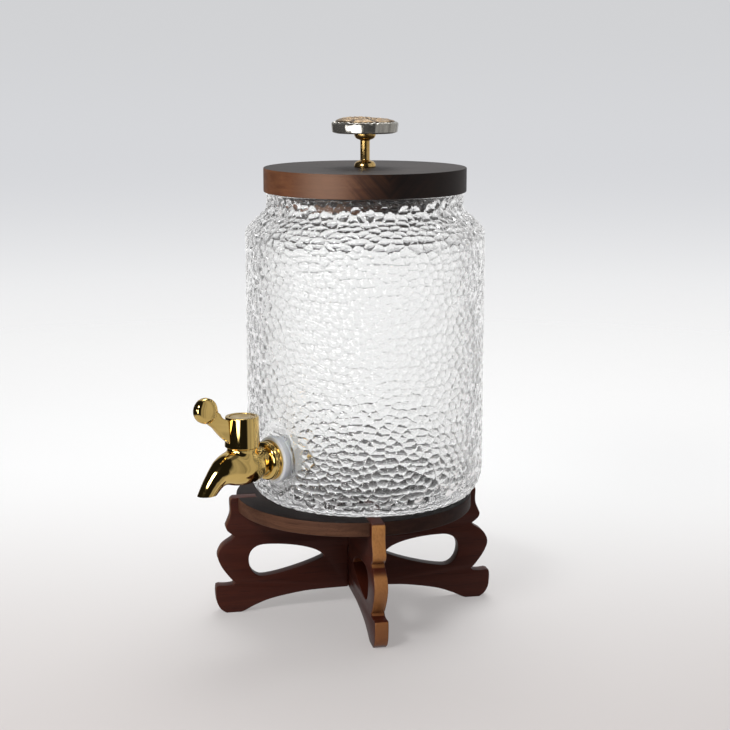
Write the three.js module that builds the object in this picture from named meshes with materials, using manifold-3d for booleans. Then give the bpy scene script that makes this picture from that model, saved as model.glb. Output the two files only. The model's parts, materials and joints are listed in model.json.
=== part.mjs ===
// A glass beverage dispenser: a jar with a tap, on a slotted wooden stand, under a wooden lid with a knob.
// Millimetres, +Z up. The tap points along -Y.
import * as THREE from "three";
import { mergeVertices } from "three/addons/utils/BufferGeometryUtils.js";
import Module from "manifold-3d";

const wasm = await Module();
wasm.setup();

// Fits between pieces
const seatGap = 0.05; // between two faces that rest on each other
const runGap = 0.25; // around what turns, slides or stands in a slot
const threadGap = 0.15; // around a screw or shank
const cutOver = 4; // how far a cutting tool runs past the face it opens

// Stand
const standHeight = 83.7;
const plateOverhang = 0.5; // how far the plate's radius passes the jar's
const plateThickness = 9.9;
const plateChamfer = 0.8;
const boardThickness = 9.4;
const boardBevel = 0.5;
const slotDepth = 13.1;
const legReach = 16.4; // how far the scrolled ends pass the plate's rim
const tabReach = 5.4; // how far the tabs pass the plate's rim
const tabCorner = 3;
const toeCorner = 1.4;
const footInset = 1.1; // how far the feet's inner ends lie inside the plate's rim
const archHeight = 13.9;
const windowTip = 22; // from the stand's middle to each window's narrow end
const windowInset = 7.1; // from the plate's rim in to each window's round end
const windowDrop = 25; // from the plate's underside down to the windows' tops
const windowOverArch = 11.6;
const firstLegTurn = (-30 * Math.PI) / 180;
const jarAcross = 6.15; // where the jar stands on the plate, from the plate's centre
const jarAlong = 5.42;

// Jar
const jarRadius = 82.6;
const jarWall = 4.5;
const jarFloor = 7;
const heelRun = 15;
const heelRise = 22;
const footRing = 12.6; // how wide the jar's flat foot is
const puntDepth = 2;
const puntSlope = 3;
const shoulderHeight = 183.3; // from the jar's foot to the centre of the shoulder's outer round
const shoulderRound = 9;
const shoulderTilt = (48 * Math.PI) / 180;
const shoulderInset = 14.8; // from the jar's outside in to the neck's
const neckFillet = 6;
const rimRound = 1.4;
const neckRise = 28.75; // from the centre of the shoulder's round to the rim
const padDepth = 3.3; // how far the flat pad under the tap lies inside the jar's radius
const padRadius = 20;
const padSlope = 10;
const padWall = 4.3;

// Lid
const lidOverhang = 1.7; // how far the lid passes the neck
const lidThickness = 16.35;
const lidChamfer = 0.9;
const plugDepth = 8;
const plugClearance = 2.3; // around the plug inside the neck
const plugChamfer = 1;
const sealGrooveDepth = 2.2;
const sealGrooveHeight = 3.2;
const sealGrooveDrop = 2.4; // from the lid's underside to the groove
const sealLip = 1;
const lidHoleRadius = 2.4;
const lidScrewPocket = 6.6;
const lidScrewPocketDepth = 4.4;

// Knob
const knobRadius = 23.2;
const knobStand = 23.1; // from the lid's top to the head's underside
const knobThickness = 7.7;
const knobEdge = 0.9;
const knobRippleShare = 0.007; // how far the head's edge wanders, as a share of its radius
const knobWavesSlow = 7;
const knobWavesFast = 11;
const reliefRadius = 20.4;
const reliefSeat = 0.8;
const reliefRise = 3.7;
const reliefPetals = 8;
const reliefCleftShare = 0.3; // how deep the clefts between petals are, of the rise
const flareRadius = 7.4;
const flareHeight = 4.4;
const flareFoot = 0.8;
const stemRadius = 3.25;
const stemFillet = 0.5;
const spigotRadius = 2.4;
const spigotLength = 2.6;
const lidScrewRadius = 2;
const lidScrewReach = 11; // how far the screw runs up into the stem
const lidScrewHeadRadius = 3.7;
const lidScrewHeadHeight = 2.3;
const lidWasherRadius = 5.8;
const lidWasherThickness = 0.9;
const driveSlotWidth = 0.9;
const driveSlotDepth = 1.1;

// Tap
const tapAboveHeel = 14.45; // from the top of the jar's heel to the tap's axis
const tapNeckLength = 16.6; // from the flange's front to the barrel's axis
const washerRadius = 15.8;
const washerThickness = 4.7;
const washerEdge = 1.1;
const innerWasherRadius = 13.6;
const innerWasherThickness = 2.4;
const innerWasherEdge = 0.5;
const nutAcross = 25;
const nutThickness = 7;
const nutChamfer = 1.2;
const shankRadius = 7.8;
const shankLength = 24;
const shankBore = 4;
const shankHoleGap = 0.6;
const flangeRadius = 13.6;
const flangeRim = 1.6;
const flangeGroove = 0.8;
const flangeStep = 2;
const flangeRound = 2.8;
const tapNeckRadius = 10.4;
const tapNeckAcross = 17.4;
const bellyRadius = 12.1;
const bellyDrop = 0.9; // the belly hangs a little below the tap's axis
const bellyLength = 44;
const barrelHeight = 13; // from the tap's axis to the barrel's top
const barrelRadius = 10.2;
const barrelWaist = 9.5;
const barrelWaistShare = 0.5; // of the barrel's height, where its flare starts
const barrelFlareShare = 0.8;
const valveBore = 6.8;
const valveDepth = 8.2; // from the tap's axis to the floor of the valve bore
const spoutRise = 3.6; // the spout leaves the barrel this far above the tap's axis
const spoutShoulder = 0.4; // from the barrel's top down to the spout's root
const spoutReach = 29.85;
const spoutDrop = 15.3;
const spoutBend = 19;
const spoutTipRadius = 5.3;
const spoutBoreRadius = 3.5;
const spoutMouthRadius = 4.1;
const spoutRootShares = [1, 1, 1, 0.97, 0.9, 0.66, 0.42, 0.26, 0.12, 0.02];

// Tap handle and valve
const hubHeight = 20.4;
const hubTopRadius = 11.1;
const hubFootRadius = 11.7;
const hubRound = 0.8;
const webThickness = 3.8;
const ballAcross = 17.4;
const ballThickness = 12;
const ballReach = 29.4;
const ballRise = 28; // from the handle's foot to the ball's centre
const collarAcross = 11;
const collarLength = 1.6;
const collarSeat = 6.6; // from the ball's centre back to the collar's middle
const leverTilt = (35 * Math.PI) / 180;
const capRadius = 8.3;
const capThickness = 1.7;
const capDome = 0.5;
const capRecess = 2;
const capStemRadius = 3.6;
const capStemLength = 3;
const corePort = 3.2;
const ringGrooveDepth = 0.9;
const ringRise = 6;
const ringDrop = 5.4;
const driveRadius = 4.4;
const driveHeight = 9.2;
const driveFlat = 3.2;
const socketRoof = 3;
const handleScrewRadius = 1.4;
const handleScrewReach = 7;
const handleScrewHeadRadius = 3.1;
const handleScrewHeadHeight = 2.2;

// How finely round shapes are cut into flats
const bigSides = 40;
const midSides = 22;
const smallSides = 12;
const ringSides = 6;
const arcSteps = 2;
const splineSteps = 2;
const windowSteps = 4;
const hiddenSteps = 1;
const capSteps = 3;
const reliefRings = 8;
const hexSides = 6;
const mergeWithin = 1e-3;

const quarterTurn = Math.PI / 2;

// Derived sizes and places, heights from the floor and reaches from the jar's axis
const plateRadius = jarRadius + plateOverhang;
const plateUnder = standHeight - plateThickness;
const footInner = plateRadius - footInset;
const windowEnd = plateRadius - windowInset;
const windowHigh = plateUnder - windowDrop;
const windowLow = archHeight + windowOverArch;
const jarFoot = standHeight + seatGap;
const puntRadius = jarRadius - heelRun - puntSlope - footRing;
const neckRadius = jarRadius - shoulderInset;
const shoulderCentre = jarFoot + shoulderHeight;
const rimTop = shoulderCentre + neckRise;
const lidHeight = rimTop + seatGap; // the lid's underside
const lidTop = lidHeight + lidThickness;
const plugFoot = lidHeight - plugDepth;
const lidRadius = neckRadius + lidOverhang;
const plugRadius = neckRadius - jarWall - plugClearance;
const knobFoot = lidTop + seatGap;
const knobUnder = lidTop + knobStand;
const knobTop = knobUnder + knobThickness;
const tapHeight = jarFoot + heelRise + tapAboveHeel;
const padReach = jarRadius - padDepth;
const flangeBack = padReach + washerThickness + seatGap + seatGap;
const flangeFront = flangeBack + flangeRim + flangeGroove + flangeStep + flangeRound;
const barrelReach = flangeFront + tapNeckLength;
const innerPad = padReach - padWall;
const innerWasherFace = innerPad - seatGap;
const nutFace = innerWasherFace - innerWasherThickness - seatGap;
const barrelTop = tapHeight + barrelHeight;
const spoutRootRadius = barrelHeight - spoutRise - spoutShoulder;
const handleFoot = barrelTop + runGap;
const coreRadius = valveBore - runGap - threadGap;
const ringSeat = coreRadius - ringGrooveDepth;
const ringWire = (valveBore - threadGap - ringSeat - seatGap) / 2;
const ringGroove = ringWire + ringWire + seatGap + seatGap;

const materials = {
  glass: new THREE.MeshStandardMaterial({
    color: 0xf2f5f5,
    roughness: 0.05,
    metalness: 0,
    transparent: true,
    opacity: 0.35,
  }),
  gold: new THREE.MeshStandardMaterial({ color: 0xc9993f, roughness: 0.16, metalness: 1 }),
  nickel: new THREE.MeshStandardMaterial({ color: 0xc9c4b8, roughness: 0.24, metalness: 1 }),
  reliefGold: new THREE.MeshStandardMaterial({ color: 0xb78f52, roughness: 0.38, metalness: 1 }),
  steel: new THREE.MeshStandardMaterial({ color: 0xb9bbbd, roughness: 0.3, metalness: 1 }),
  silicone: new THREE.MeshStandardMaterial({ color: 0xe6e9ee, roughness: 0.5, metalness: 0 }),
  nutPlastic: new THREE.MeshStandardMaterial({ color: 0xf0f0ee, roughness: 0.45, metalness: 0 }),
  darkRubber: new THREE.MeshStandardMaterial({ color: 0x26241f, roughness: 0.7, metalness: 0 }),
  walnut: new THREE.MeshStandardMaterial({ color: 0x4a2a1c, roughness: 0.5, metalness: 0 }),
  standWood: new THREE.MeshStandardMaterial({ color: 0x3c1c12, roughness: 0.48, metalness: 0 }),
};

// The closed solid of a geometry, for cutting and joining.
function solidOf(geometry) {
  const source = geometry.index ? geometry.toNonIndexed() : geometry;
  const bare = new THREE.BufferGeometry();
  bare.setAttribute("position", source.getAttribute("position").clone());
  const merged = mergeVertices(bare, mergeWithin);
  return new wasm.Manifold(
    new wasm.Mesh({
      numProp: 3,
      vertProperties: merged.attributes.position.array,
      triVerts: new Uint32Array(merged.index.array),
    }),
  );
}

function geometryOf(solid) {
  const mesh = solid.getMesh();
  const geometry = new THREE.BufferGeometry();
  geometry.setAttribute("position", new THREE.BufferAttribute(mesh.vertProperties, 3));
  geometry.setIndex(new THREE.BufferAttribute(mesh.triVerts, 1));
  geometry.computeVertexNormals();
  return geometry;
}

const join = (...geometries) => geometries.map(solidOf).reduce((whole, next) => whole.add(next));
const cut = (solid, ...tools) => tools.map(solidOf).reduce((left, tool) => left.subtract(tool), solid);

function piece(name, shape, material) {
  const geometry = shape.isBufferGeometry ? shape : geometryOf(shape);
  const mesh = new THREE.Mesh(geometry, material);
  mesh.name = name;
  return mesh;
}

const dot = (radius, height) => new THREE.Vector2(radius, height);

// A turned solid about the upright axis; the outline runs outwards at its foot and back in at its top.
const turnedUp = (outline, sides) => new THREE.LatheGeometry(outline, sides).rotateX(quarterTurn);

// A turned solid about the tap's axis; the outline's second value is the reach from the jar's axis.
function turnedAlongTap(outline, sides) {
  const along = outline.map((p) => dot(p.x, -p.y)).reverse();
  return new THREE.LatheGeometry(along, sides).translate(0, 0, tapHeight);
}

// A plain upright cylinder between two heights.
function post(radius, foot, top, sides = midSides) {
  return turnedUp([dot(0, foot), dot(radius, foot), dot(radius, top), dot(0, top)], sides);
}

// A plain cylinder on the tap's axis between two reaches.
function bar(radius, from, to, sides = midSides) {
  return turnedAlongTap([dot(0, from), dot(radius, from), dot(radius, to), dot(0, to)], sides);
}

// A square-edged block between two corners.
function block(low, high) {
  const size = high.clone().sub(low);
  const middle = high.clone().add(low).multiplyScalar(1 / 2);
  return new THREE.BoxGeometry(size.x, size.y, size.z).translate(middle.x, middle.y, middle.z);
}

// A closed skin over rings of points that each have the same count, with a fan on each end.
function loft(rings) {
  const sides = rings[0].length;
  const points = rings.flat();
  const centres = [rings[0], rings[rings.length - 1]].map((ring) =>
    ring.reduce((sum, p) => sum.add(p), new THREE.Vector3()).divideScalar(sides),
  );
  const positions = [...points, ...centres].flatMap((p) => [p.x, p.y, p.z]);
  const faces = [];
  for (let r = 0; r + 1 < rings.length; r++) {
    for (let s = 0; s < sides; s++) {
      const a = r * sides + s;
      const b = r * sides + ((s + 1) % sides);
      faces.push(a, a + sides, b, b, a + sides, b + sides);
    }
  }
  const last = (rings.length - 1) * sides;
  for (let s = 0; s < sides; s++) {
    const next = (s + 1) % sides;
    faces.push(points.length, s, next, points.length + 1, last + next, last + s);
  }
  const geometry = new THREE.BufferGeometry();
  geometry.setAttribute("position", new THREE.Float32BufferAttribute(positions, 3));
  geometry.setIndex(faces);
  return geometry;
}

// A round tube along a curve in the tap's upright plane, with a radius at each of its evenly spaced rings.
function taperedTube(curve, radii, sides) {
  const across = new THREE.Vector3(1, 0, 0);
  const rings = radii.map((radius, i) => {
    const share = i / (radii.length - 1);
    const centre = curve.getPoint(share);
    const normal = new THREE.Vector3().crossVectors(curve.getTangent(share), across).normalize();
    return Array.from({ length: sides }, (_, s) => {
      const turn = (s / sides) * 2 * Math.PI;
      const spoke = across.clone().multiplyScalar(Math.cos(turn) * radius);
      return spoke.addScaledVector(normal, -Math.sin(turn) * radius).add(centre);
    });
  });
  return loft(rings);
}

// Outline of the scrolled end: shares of the leg's reach past the plate's rim, and of the stand's height.
const browShares = [[0.325, 0.86], [0.46, 0.787], [0.53, 0.75], [0.45, 0.711], [0.17, 0.667]];
const cheekShares = [[0.28, 0.645], [0.7, 0.587], [0.9, 0.5], [0.74, 0.405], [0.4, 0.31], [0.17, 0.262]];
const toeTopShares = [[0.27, 0.243], [0.55, 0.238], [0.86, 0.243]];
const toeFrontShares = [[0.995, 0.15], [0.95, 0.09], [0.8, 0.035], [0.56, 0]];
// The arch between the feet: shares of the foot's inner end, and of the arch's height.
const archShares = [[0.96, 0.08], [0.87, 0.34], [0.72, 0.64], [0.472, 0.892], [0.293, 0.964]];
// The window: each row is one curve's two handles and its end, as shares of the window's length and height.
const windowStartShares = [0, 0.515];
const windowShares = [
  [0.056, 0.815, 0.444, 1, 0.778, 1],
  [0.917, 1, 1, 0.815, 1, 0.545],
  [1, 0.258, 0.926, 0, 0.815, 0],
  [0.667, 0, 0.222, 0.258, 0, 0.515],
];

// Half of a leg board's outline, from its middle at the top, out round the scroll and back under the arch.
function boardHalf(lapFromTop) {
  const scroll = ([reach, height]) => dot(plateRadius + reach * legReach, height * standHeight);
  const arch = ([reach, height]) => dot(reach * footInner, height * archHeight);
  const lapHalf = boardThickness / 2 + runGap;
  const lapMiddle = (plateUnder + archHeight) / 2;
  const tabInner = plateRadius - slotDepth + runGap;
  const tabOuter = plateRadius + tabReach;
  const half = new THREE.Path();
  if (lapFromTop) {
    half.moveTo(0, lapMiddle - runGap / 2);
    half.lineTo(lapHalf, lapMiddle - runGap / 2);
    half.lineTo(lapHalf, plateUnder - seatGap);
  } else {
    half.moveTo(0, plateUnder - seatGap);
  }
  half.lineTo(tabInner, plateUnder - seatGap);
  half.lineTo(tabInner, standHeight);
  half.lineTo(tabOuter - tabCorner, standHeight);
  half.absarc(tabOuter - tabCorner, standHeight - tabCorner, tabCorner, quarterTurn, 0, true);
  half.splineThru(browShares.map(scroll));
  half.splineThru(cheekShares.map(scroll));
  half.splineThru(toeTopShares.map(scroll));
  half.quadraticCurveTo(
    plateRadius + legReach,
    toeTopShares.at(-1)[1] * standHeight,
    plateRadius + legReach,
    toeTopShares.at(-1)[1] * standHeight - toeCorner - toeCorner,
  );
  half.splineThru(toeFrontShares.map(scroll));
  half.lineTo(footInner, 0);
  half.splineThru([...archShares.map(arch), dot(lapHalf, archHeight)]);
  if (!lapFromTop) half.lineTo(lapHalf, lapMiddle + runGap / 2);
  const points = half.getPoints(splineSteps);
  return points.filter((p, i) => i === 0 || p.distanceTo(points[i - 1]) > mergeWithin);
}

function windowOutline(side) {
  const place = (along, up) => [
    side * (windowTip + along * (windowEnd - windowTip)),
    windowLow + up * (windowHigh - windowLow),
  ];
  const hole = new THREE.Path();
  hole.moveTo(...place(...windowStartShares));
  for (const [a, b, c, d, e, f] of windowShares) {
    hole.bezierCurveTo(...place(a, b), ...place(c, d), ...place(e, f));
  }
  return new THREE.Shape(hole.getPoints(windowSteps).slice(1));
}

// A window is cut straight through, then eased where it meets each face of the board.
function windowTools(side) {
  const outline = windowOutline(side);
  const through = boardThickness + cutOver;
  const straight = new THREE.ExtrudeGeometry(outline, { depth: through, bevelEnabled: false });
  const easing = {
    depth: seatGap,
    bevelEnabled: true,
    bevelThickness: boardBevel,
    bevelSize: boardBevel,
    bevelSegments: 1,
  };
  const eased = [-1, 1].map((face) =>
    new THREE.ExtrudeGeometry(outline, easing).translate(
      0,
      0,
      (face * (boardThickness + seatGap)) / 2 - seatGap / 2,
    ),
  );
  return [straight.translate(0, 0, -through / 2), ...eased];
}

// A leg board stands upright across the stand, its outline mirrored about its middle.
function legBoard(lapFromTop) {
  const half = boardHalf(lapFromTop);
  const mirrored = half.filter((p) => p.x > mergeWithin).map((p) => dot(-p.x, p.y));
  const outline = new THREE.Shape([...half, ...mirrored.reverse()]);
  const board = new THREE.ExtrudeGeometry(outline, {
    depth: boardThickness - boardBevel - boardBevel,
    bevelEnabled: true,
    bevelThickness: boardBevel,
    bevelSize: boardBevel,
    bevelOffset: -boardBevel,
    bevelSegments: 1,
  }).translate(0, 0, boardBevel - boardThickness / 2);
  const windows = [...windowTools(1), ...windowTools(-1)];
  return geometryOf(cut(solidOf(board), ...windows)).rotateX(quarterTurn);
}

// The plate is turned, then slotted from its rim for the boards' tabs.
function standPlate() {
  const disc = turnedUp(
    [
      dot(0, plateUnder),
      dot(plateRadius - plateChamfer, plateUnder),
      dot(plateRadius, plateUnder + plateChamfer),
      dot(plateRadius, standHeight - plateChamfer),
      dot(plateRadius - plateChamfer, standHeight),
      dot(0, standHeight),
    ],
    bigSides,
  );
  const slotHalf = boardThickness / 2 + runGap;
  const slots = [0, 1, 2, 3].map((quarter) =>
    block(
      new THREE.Vector3(plateRadius - slotDepth, -slotHalf, plateUnder - cutOver),
      new THREE.Vector3(plateRadius + cutOver, slotHalf, standHeight + cutOver),
    ).rotateZ(quarter * quarterTurn),
  );
  return cut(solidOf(disc), ...slots);
}

function makeStand() {
  const stand = new THREE.Group();
  stand.rotation.z = firstLegTurn;
  const first = piece("leg_board_front", legBoard(true), materials.standWood);
  const second = piece("leg_board_side", legBoard(false), materials.standWood);
  second.rotation.z = quarterTurn;
  stand.add(first, second, piece("stand_plate", standPlate(), materials.standWood));
  return stand;
}

// The jar's wall, a given depth in from its outer face, from the heel's foot up to the neck.
function jarWallLine(depth, foot, steps) {
  const roundCentre = jarRadius - shoulderRound;
  const filletCentre = neckRadius + neckFillet;
  const run = roundCentre - filletCentre + (shoulderRound + neckFillet) * Math.cos(shoulderTilt);
  const rise = run / Math.tan(shoulderTilt) + (shoulderRound + neckFillet) * Math.sin(shoulderTilt);
  const filletHeight = shoulderCentre + rise;
  const line = new THREE.Path();
  line.moveTo(jarRadius - heelRun, foot);
  line.absellipse(
    jarRadius - heelRun,
    jarFoot + heelRise,
    heelRun - depth,
    jarFoot + heelRise - foot,
    -quarterTurn,
    0,
    false,
    0,
  );
  line.absarc(roundCentre, shoulderCentre, shoulderRound - depth, 0, shoulderTilt, false);
  line.absarc(filletCentre, filletHeight, neckFillet + depth, Math.PI + shoulderTilt, Math.PI, true);
  return line.getPoints(steps);
}

// A shallow flat in the wall, with sloping sides, for the tap to seat on.
function padTool(reach, radius) {
  return turnedAlongTap(
    [
      dot(0, reach),
      dot(radius, reach),
      dot(radius + padSlope, reach + cutOver),
      dot(radius + padSlope, jarRadius + cutOver),
      dot(0, jarRadius + cutOver),
    ],
    midSides,
  );
}

function glassJar() {
  const rim = new THREE.Path();
  rim.moveTo(neckRadius, rimTop - rimRound);
  rim.absarc(neckRadius - rimRound, rimTop - rimRound, rimRound, 0, quarterTurn, false);
  const outside = turnedUp(
    [
      dot(0, jarFoot + puntDepth),
      dot(puntRadius, jarFoot + puntDepth),
      dot(puntRadius + puntSlope, jarFoot),
      ...jarWallLine(0, jarFoot, arcSteps),
      ...rim.getPoints(arcSteps),
      dot(0, rimTop),
    ],
    bigSides,
  );
  const inside = turnedUp(
    [
      dot(0, jarFoot + jarFloor),
      ...jarWallLine(jarWall, jarFoot + jarFloor, hiddenSteps),
      dot(neckRadius - jarWall, rimTop - rimRound),
      dot(neckRadius - jarWall + rimRound, rimTop + rimRound),
      dot(0, rimTop + rimRound),
    ],
    bigSides,
  );
  const hollow = cut(solidOf(inside), padTool(innerPad, padRadius - padWall));
  const shell = cut(solidOf(outside), padTool(padReach, padRadius)).subtract(hollow);
  return cut(shell, bar(shankRadius + shankHoleGap, innerPad - cutOver, jarRadius + cutOver));
}

// A ring on the tap's axis with eased outer corners.
function washer(bore, radius, from, to, edge) {
  const outline = [
    dot(bore, from),
    dot(radius - edge, from),
    dot(radius, from + edge),
    dot(radius, to - edge),
    dot(radius - edge, to),
    dot(bore, to),
    dot(bore, from),
  ];
  return turnedAlongTap(outline, midSides);
}

function tapNut() {
  const corner = nutAcross / Math.sqrt(3);
  const back = nutFace - nutThickness;
  const hexagon = bar(corner, back, nutFace, hexSides);
  const rounded = turnedAlongTap(
    [
      dot(0, back),
      dot(corner - nutChamfer, back),
      dot(corner, back + nutChamfer),
      dot(corner, nutFace),
      dot(0, nutFace),
    ],
    midSides,
  );
  const blank = solidOf(hexagon).intersect(solidOf(rounded));
  return cut(blank, bar(shankRadius + threadGap, back - cutOver, nutFace + cutOver));
}

// Two flats for a spanner, one each side of the tap's neck.
function neckFlats() {
  return [-1, 1].map((side) => {
    const near = tapNeckAcross / 2;
    const far = flangeRadius + cutOver;
    const [left, right] = [side * near, side * far].sort((a, b) => a - b);
    return block(
      new THREE.Vector3(left, barrelWaist - barrelReach, tapHeight - far),
      new THREE.Vector3(right, -flangeFront, tapHeight + far),
    );
  });
}

function flangeAndShank() {
  const groove = flangeBack + flangeRim;
  const step = groove + flangeGroove;
  const shoulder = step + flangeStep;
  const outline = new THREE.Path();
  outline.moveTo(0, flangeBack - shankLength);
  outline.lineTo(shankRadius, flangeBack - shankLength);
  outline.lineTo(shankRadius, flangeBack);
  outline.lineTo(flangeRadius, flangeBack);
  outline.lineTo(flangeRadius, groove);
  outline.lineTo(flangeRadius - flangeGroove, groove);
  outline.lineTo(flangeRadius - flangeGroove, step);
  outline.lineTo(flangeRadius - flangeGroove / 2, step);
  outline.lineTo(flangeRadius - flangeGroove / 2, shoulder);
  outline.absellipse(
    tapNeckRadius,
    shoulder,
    flangeRadius - flangeGroove / 2 - tapNeckRadius,
    flangeRound,
    0,
    quarterTurn,
    false,
    0,
  );
  outline.lineTo(tapNeckRadius, barrelReach - barrelWaist);
  outline.lineTo(0, barrelReach - barrelWaist);
  return turnedAlongTap(outline.getPoints(arcSteps), midSides);
}

function tapBarrel() {
  const outline = new THREE.Path();
  outline.moveTo(0, tapHeight);
  outline.lineTo(barrelWaist, tapHeight);
  outline.lineTo(barrelWaist, tapHeight + barrelHeight * barrelWaistShare);
  outline.quadraticCurveTo(
    barrelWaist,
    tapHeight + barrelHeight * barrelFlareShare,
    barrelRadius,
    barrelTop - hubRound,
  );
  outline.lineTo(barrelRadius, barrelTop);
  outline.lineTo(0, barrelTop);
  return turnedUp(outline.getPoints(arcSteps), midSides).translate(0, -barrelReach, 0);
}

// A curve from the barrel's axis out and down to the spout's mouth, carried on past it by one overrun.
function spoutCurve(rise) {
  const at = (reach, height) => new THREE.Vector3(0, -barrelReach - reach, height);
  const mouth = at(spoutReach, tapHeight - spoutDrop);
  const bend = at(spoutBend, tapHeight + rise);
  const start = at(0, tapHeight + rise);
  const end = mouth.clone().addScaledVector(mouth.clone().sub(bend).normalize(), cutOver);
  return new THREE.QuadraticBezierCurve3(start, bend, end);
}

function spout() {
  const radii = spoutRootShares.map((share) => spoutTipRadius + share * (spoutRootRadius - spoutTipRadius));
  return taperedTube(spoutCurve(spoutRise), radii, midSides);
}

function spoutChannel() {
  const narrowing = spoutMouthRadius - spoutBoreRadius;
  const radii = spoutRootShares.map((share) => spoutMouthRadius - share * narrowing);
  return taperedTube(spoutCurve(0), radii, smallSides);
}

// The tap's casting: shank, flange, neck, belly, barrel and spout, bored through for the drink and the valve.
function tapBody() {
  const belly = new THREE.SphereGeometry(bellyRadius, midSides, smallSides)
    .scale(1, bellyLength / (bellyRadius + bellyRadius), 1)
    .translate(0, -barrelReach, tapHeight - bellyDrop);
  const back = cut(join(flangeAndShank()), ...neckFlats());
  const front = join(belly, tapBarrel(), spout());
  const mouth = tapHeight - spoutDrop;
  const belowMouth = block(
    new THREE.Vector3(-bellyRadius - cutOver, -barrelReach - spoutReach - spoutBend, mouth - spoutReach),
    new THREE.Vector3(bellyRadius + cutOver, -barrelReach - spoutBend, mouth),
  );
  const behindFlange = bar(flangeRadius + cutOver, flangeBack - shankLength, flangeFront);
  return cut(
    front.subtract(solidOf(behindFlange)).add(back),
    belowMouth,
    bar(shankBore, flangeBack - shankLength - cutOver, barrelReach, smallSides),
    post(valveBore, tapHeight - valveDepth, barrelTop + cutOver).translate(0, -barrelReach, 0),
    spoutChannel(),
  );
}

function makeTap() {
  const tap = new THREE.Group();
  const bore = shankRadius + threadGap;
  const outer = washer(bore, washerRadius, padReach + seatGap, flangeBack - seatGap, washerEdge);
  const innerBack = innerWasherFace - innerWasherThickness;
  const inner = washer(bore, innerWasherRadius, innerBack, innerWasherFace, innerWasherEdge);
  tap.add(
    piece("tap_body", tapBody(), materials.gold),
    piece("outer_washer", outer, materials.silicone),
    piece("inner_washer", inner, materials.silicone),
    piece("tap_nut", tapNut(), materials.nutPlastic),
  );
  return tap;
}

// The thin web from the hub up to the ball, drawn in reach from the barrel's axis and height over the foot.
const webTopShares = [[0.354, 0.93], [0.46, 0.975], [0.56, 1.065], [0.66, 1.25], [0.86, 1.42]];
const webUnderShares = [
  [1, 1.06],
  [0.935, 0.91],
  [0.806, 0.755],
  [0.677, 0.54],
  [0.548, 0.355],
  [0.415, 0.205],
  [0.364, 0.13],
];

function handleWeb() {
  const place = ([reach, height]) => dot(reach * ballReach, height * hubHeight);
  const inner = hubTopRadius / 2;
  const outline = new THREE.Shape();
  outline.moveTo(inner, webUnderShares.at(-1)[1] * hubHeight);
  outline.lineTo(inner, webTopShares[0][1] * hubHeight);
  outline.lineTo(...place(webTopShares[0]).toArray());
  outline.splineThru(webTopShares.slice(1).map(place));
  outline.lineTo(...place(webUnderShares[0]).toArray());
  outline.splineThru(webUnderShares.slice(1).map(place));
  return new THREE.ExtrudeGeometry(outline, {
    depth: webThickness,
    bevelEnabled: false,
    curveSegments: splineSteps,
  })
    .translate(0, 0, -webThickness / 2)
    .rotateX(quarterTurn)
    .rotateZ(-quarterTurn);
}

function handleBall() {
  const ball = new THREE.SphereGeometry(ballAcross / 2, midSides, smallSides)
    .rotateX(quarterTurn)
    .scale(ballThickness / ballAcross, 1, 1)
    .translate(0, -ballReach, ballRise);
  const back = new THREE.Vector3(0, Math.cos(leverTilt), -Math.sin(leverTilt)).multiplyScalar(collarSeat);
  const collar = new THREE.CylinderGeometry(collarAcross / 2, collarAcross / 2, collarLength, smallSides)
    .scale(ballThickness / ballAcross, 1, 1)
    .rotateX(-leverTilt)
    .translate(0, -ballReach + back.y, ballRise + back.z);
  return [ball, collar];
}

// The handle's hub stands on the barrel; its socket takes the valve core's flatted drive.
function tapHandle() {
  const hub = new THREE.Path();
  hub.moveTo(0, 0);
  hub.lineTo(hubFootRadius, 0);
  hub.lineTo(hubTopRadius, hubHeight - hubRound);
  hub.absarc(hubTopRadius - hubRound, hubHeight - hubRound, hubRound, 0, quarterTurn, false);
  hub.lineTo(0, hubHeight);
  const whole = join(turnedUp(hub.getPoints(arcSteps), midSides), handleWeb(), ...handleBall());
  const socket = cut(
    solidOf(post(driveRadius + runGap, -cutOver, driveHeight, smallSides)),
    flatTool(driveFlat + runGap, driveHeight + cutOver),
  );
  return cut(
    whole.subtract(socket),
    post(handleScrewRadius + runGap, 0, hubHeight, smallSides),
    post(capStemRadius + runGap, driveHeight + socketRoof, hubHeight, smallSides),
    post(capRadius + runGap, hubHeight - capRecess, hubHeight + cutOver),
  );
}

// A block beyond the drive's flat, from well below the handle's foot to the height given.
function flatTool(flat, top) {
  return block(
    new THREE.Vector3(flat, -hubFootRadius, -hubHeight),
    new THREE.Vector3(flat + hubFootRadius, hubFootRadius, top),
  );
}

// The cover button has a shallow dome and a stem that plugs into the screw's bore.
function handleCap() {
  const foot = hubHeight - capRecess + seatGap;
  const outline = new THREE.Path();
  outline.moveTo(0, foot - capStemLength);
  outline.lineTo(capStemRadius, foot - capStemLength);
  outline.lineTo(capStemRadius, foot);
  outline.lineTo(capRadius, foot);
  outline.lineTo(capRadius, foot + capThickness - capDome);
  outline.quadraticCurveTo(capRadius / 2, foot + capThickness + capDome, 0, foot + capThickness - capDome);
  return turnedUp(outline.getPoints(capSteps), midSides);
}

function cheeseHeadScrew(radius, foot, headFoot, headRadius, headHeight) {
  const screw = turnedUp(
    [
      dot(0, foot),
      dot(radius, foot),
      dot(radius, headFoot),
      dot(headRadius, headFoot),
      dot(headRadius, headFoot + headHeight),
      dot(0, headFoot + headHeight),
    ],
    smallSides,
  );
  const slot = block(
    new THREE.Vector3(-headRadius - cutOver, -driveSlotWidth / 2, headFoot + headHeight - driveSlotDepth),
    new THREE.Vector3(headRadius + cutOver, driveSlotWidth / 2, headFoot + headHeight + cutOver),
  );
  return cut(solidOf(screw), slot);
}

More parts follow.
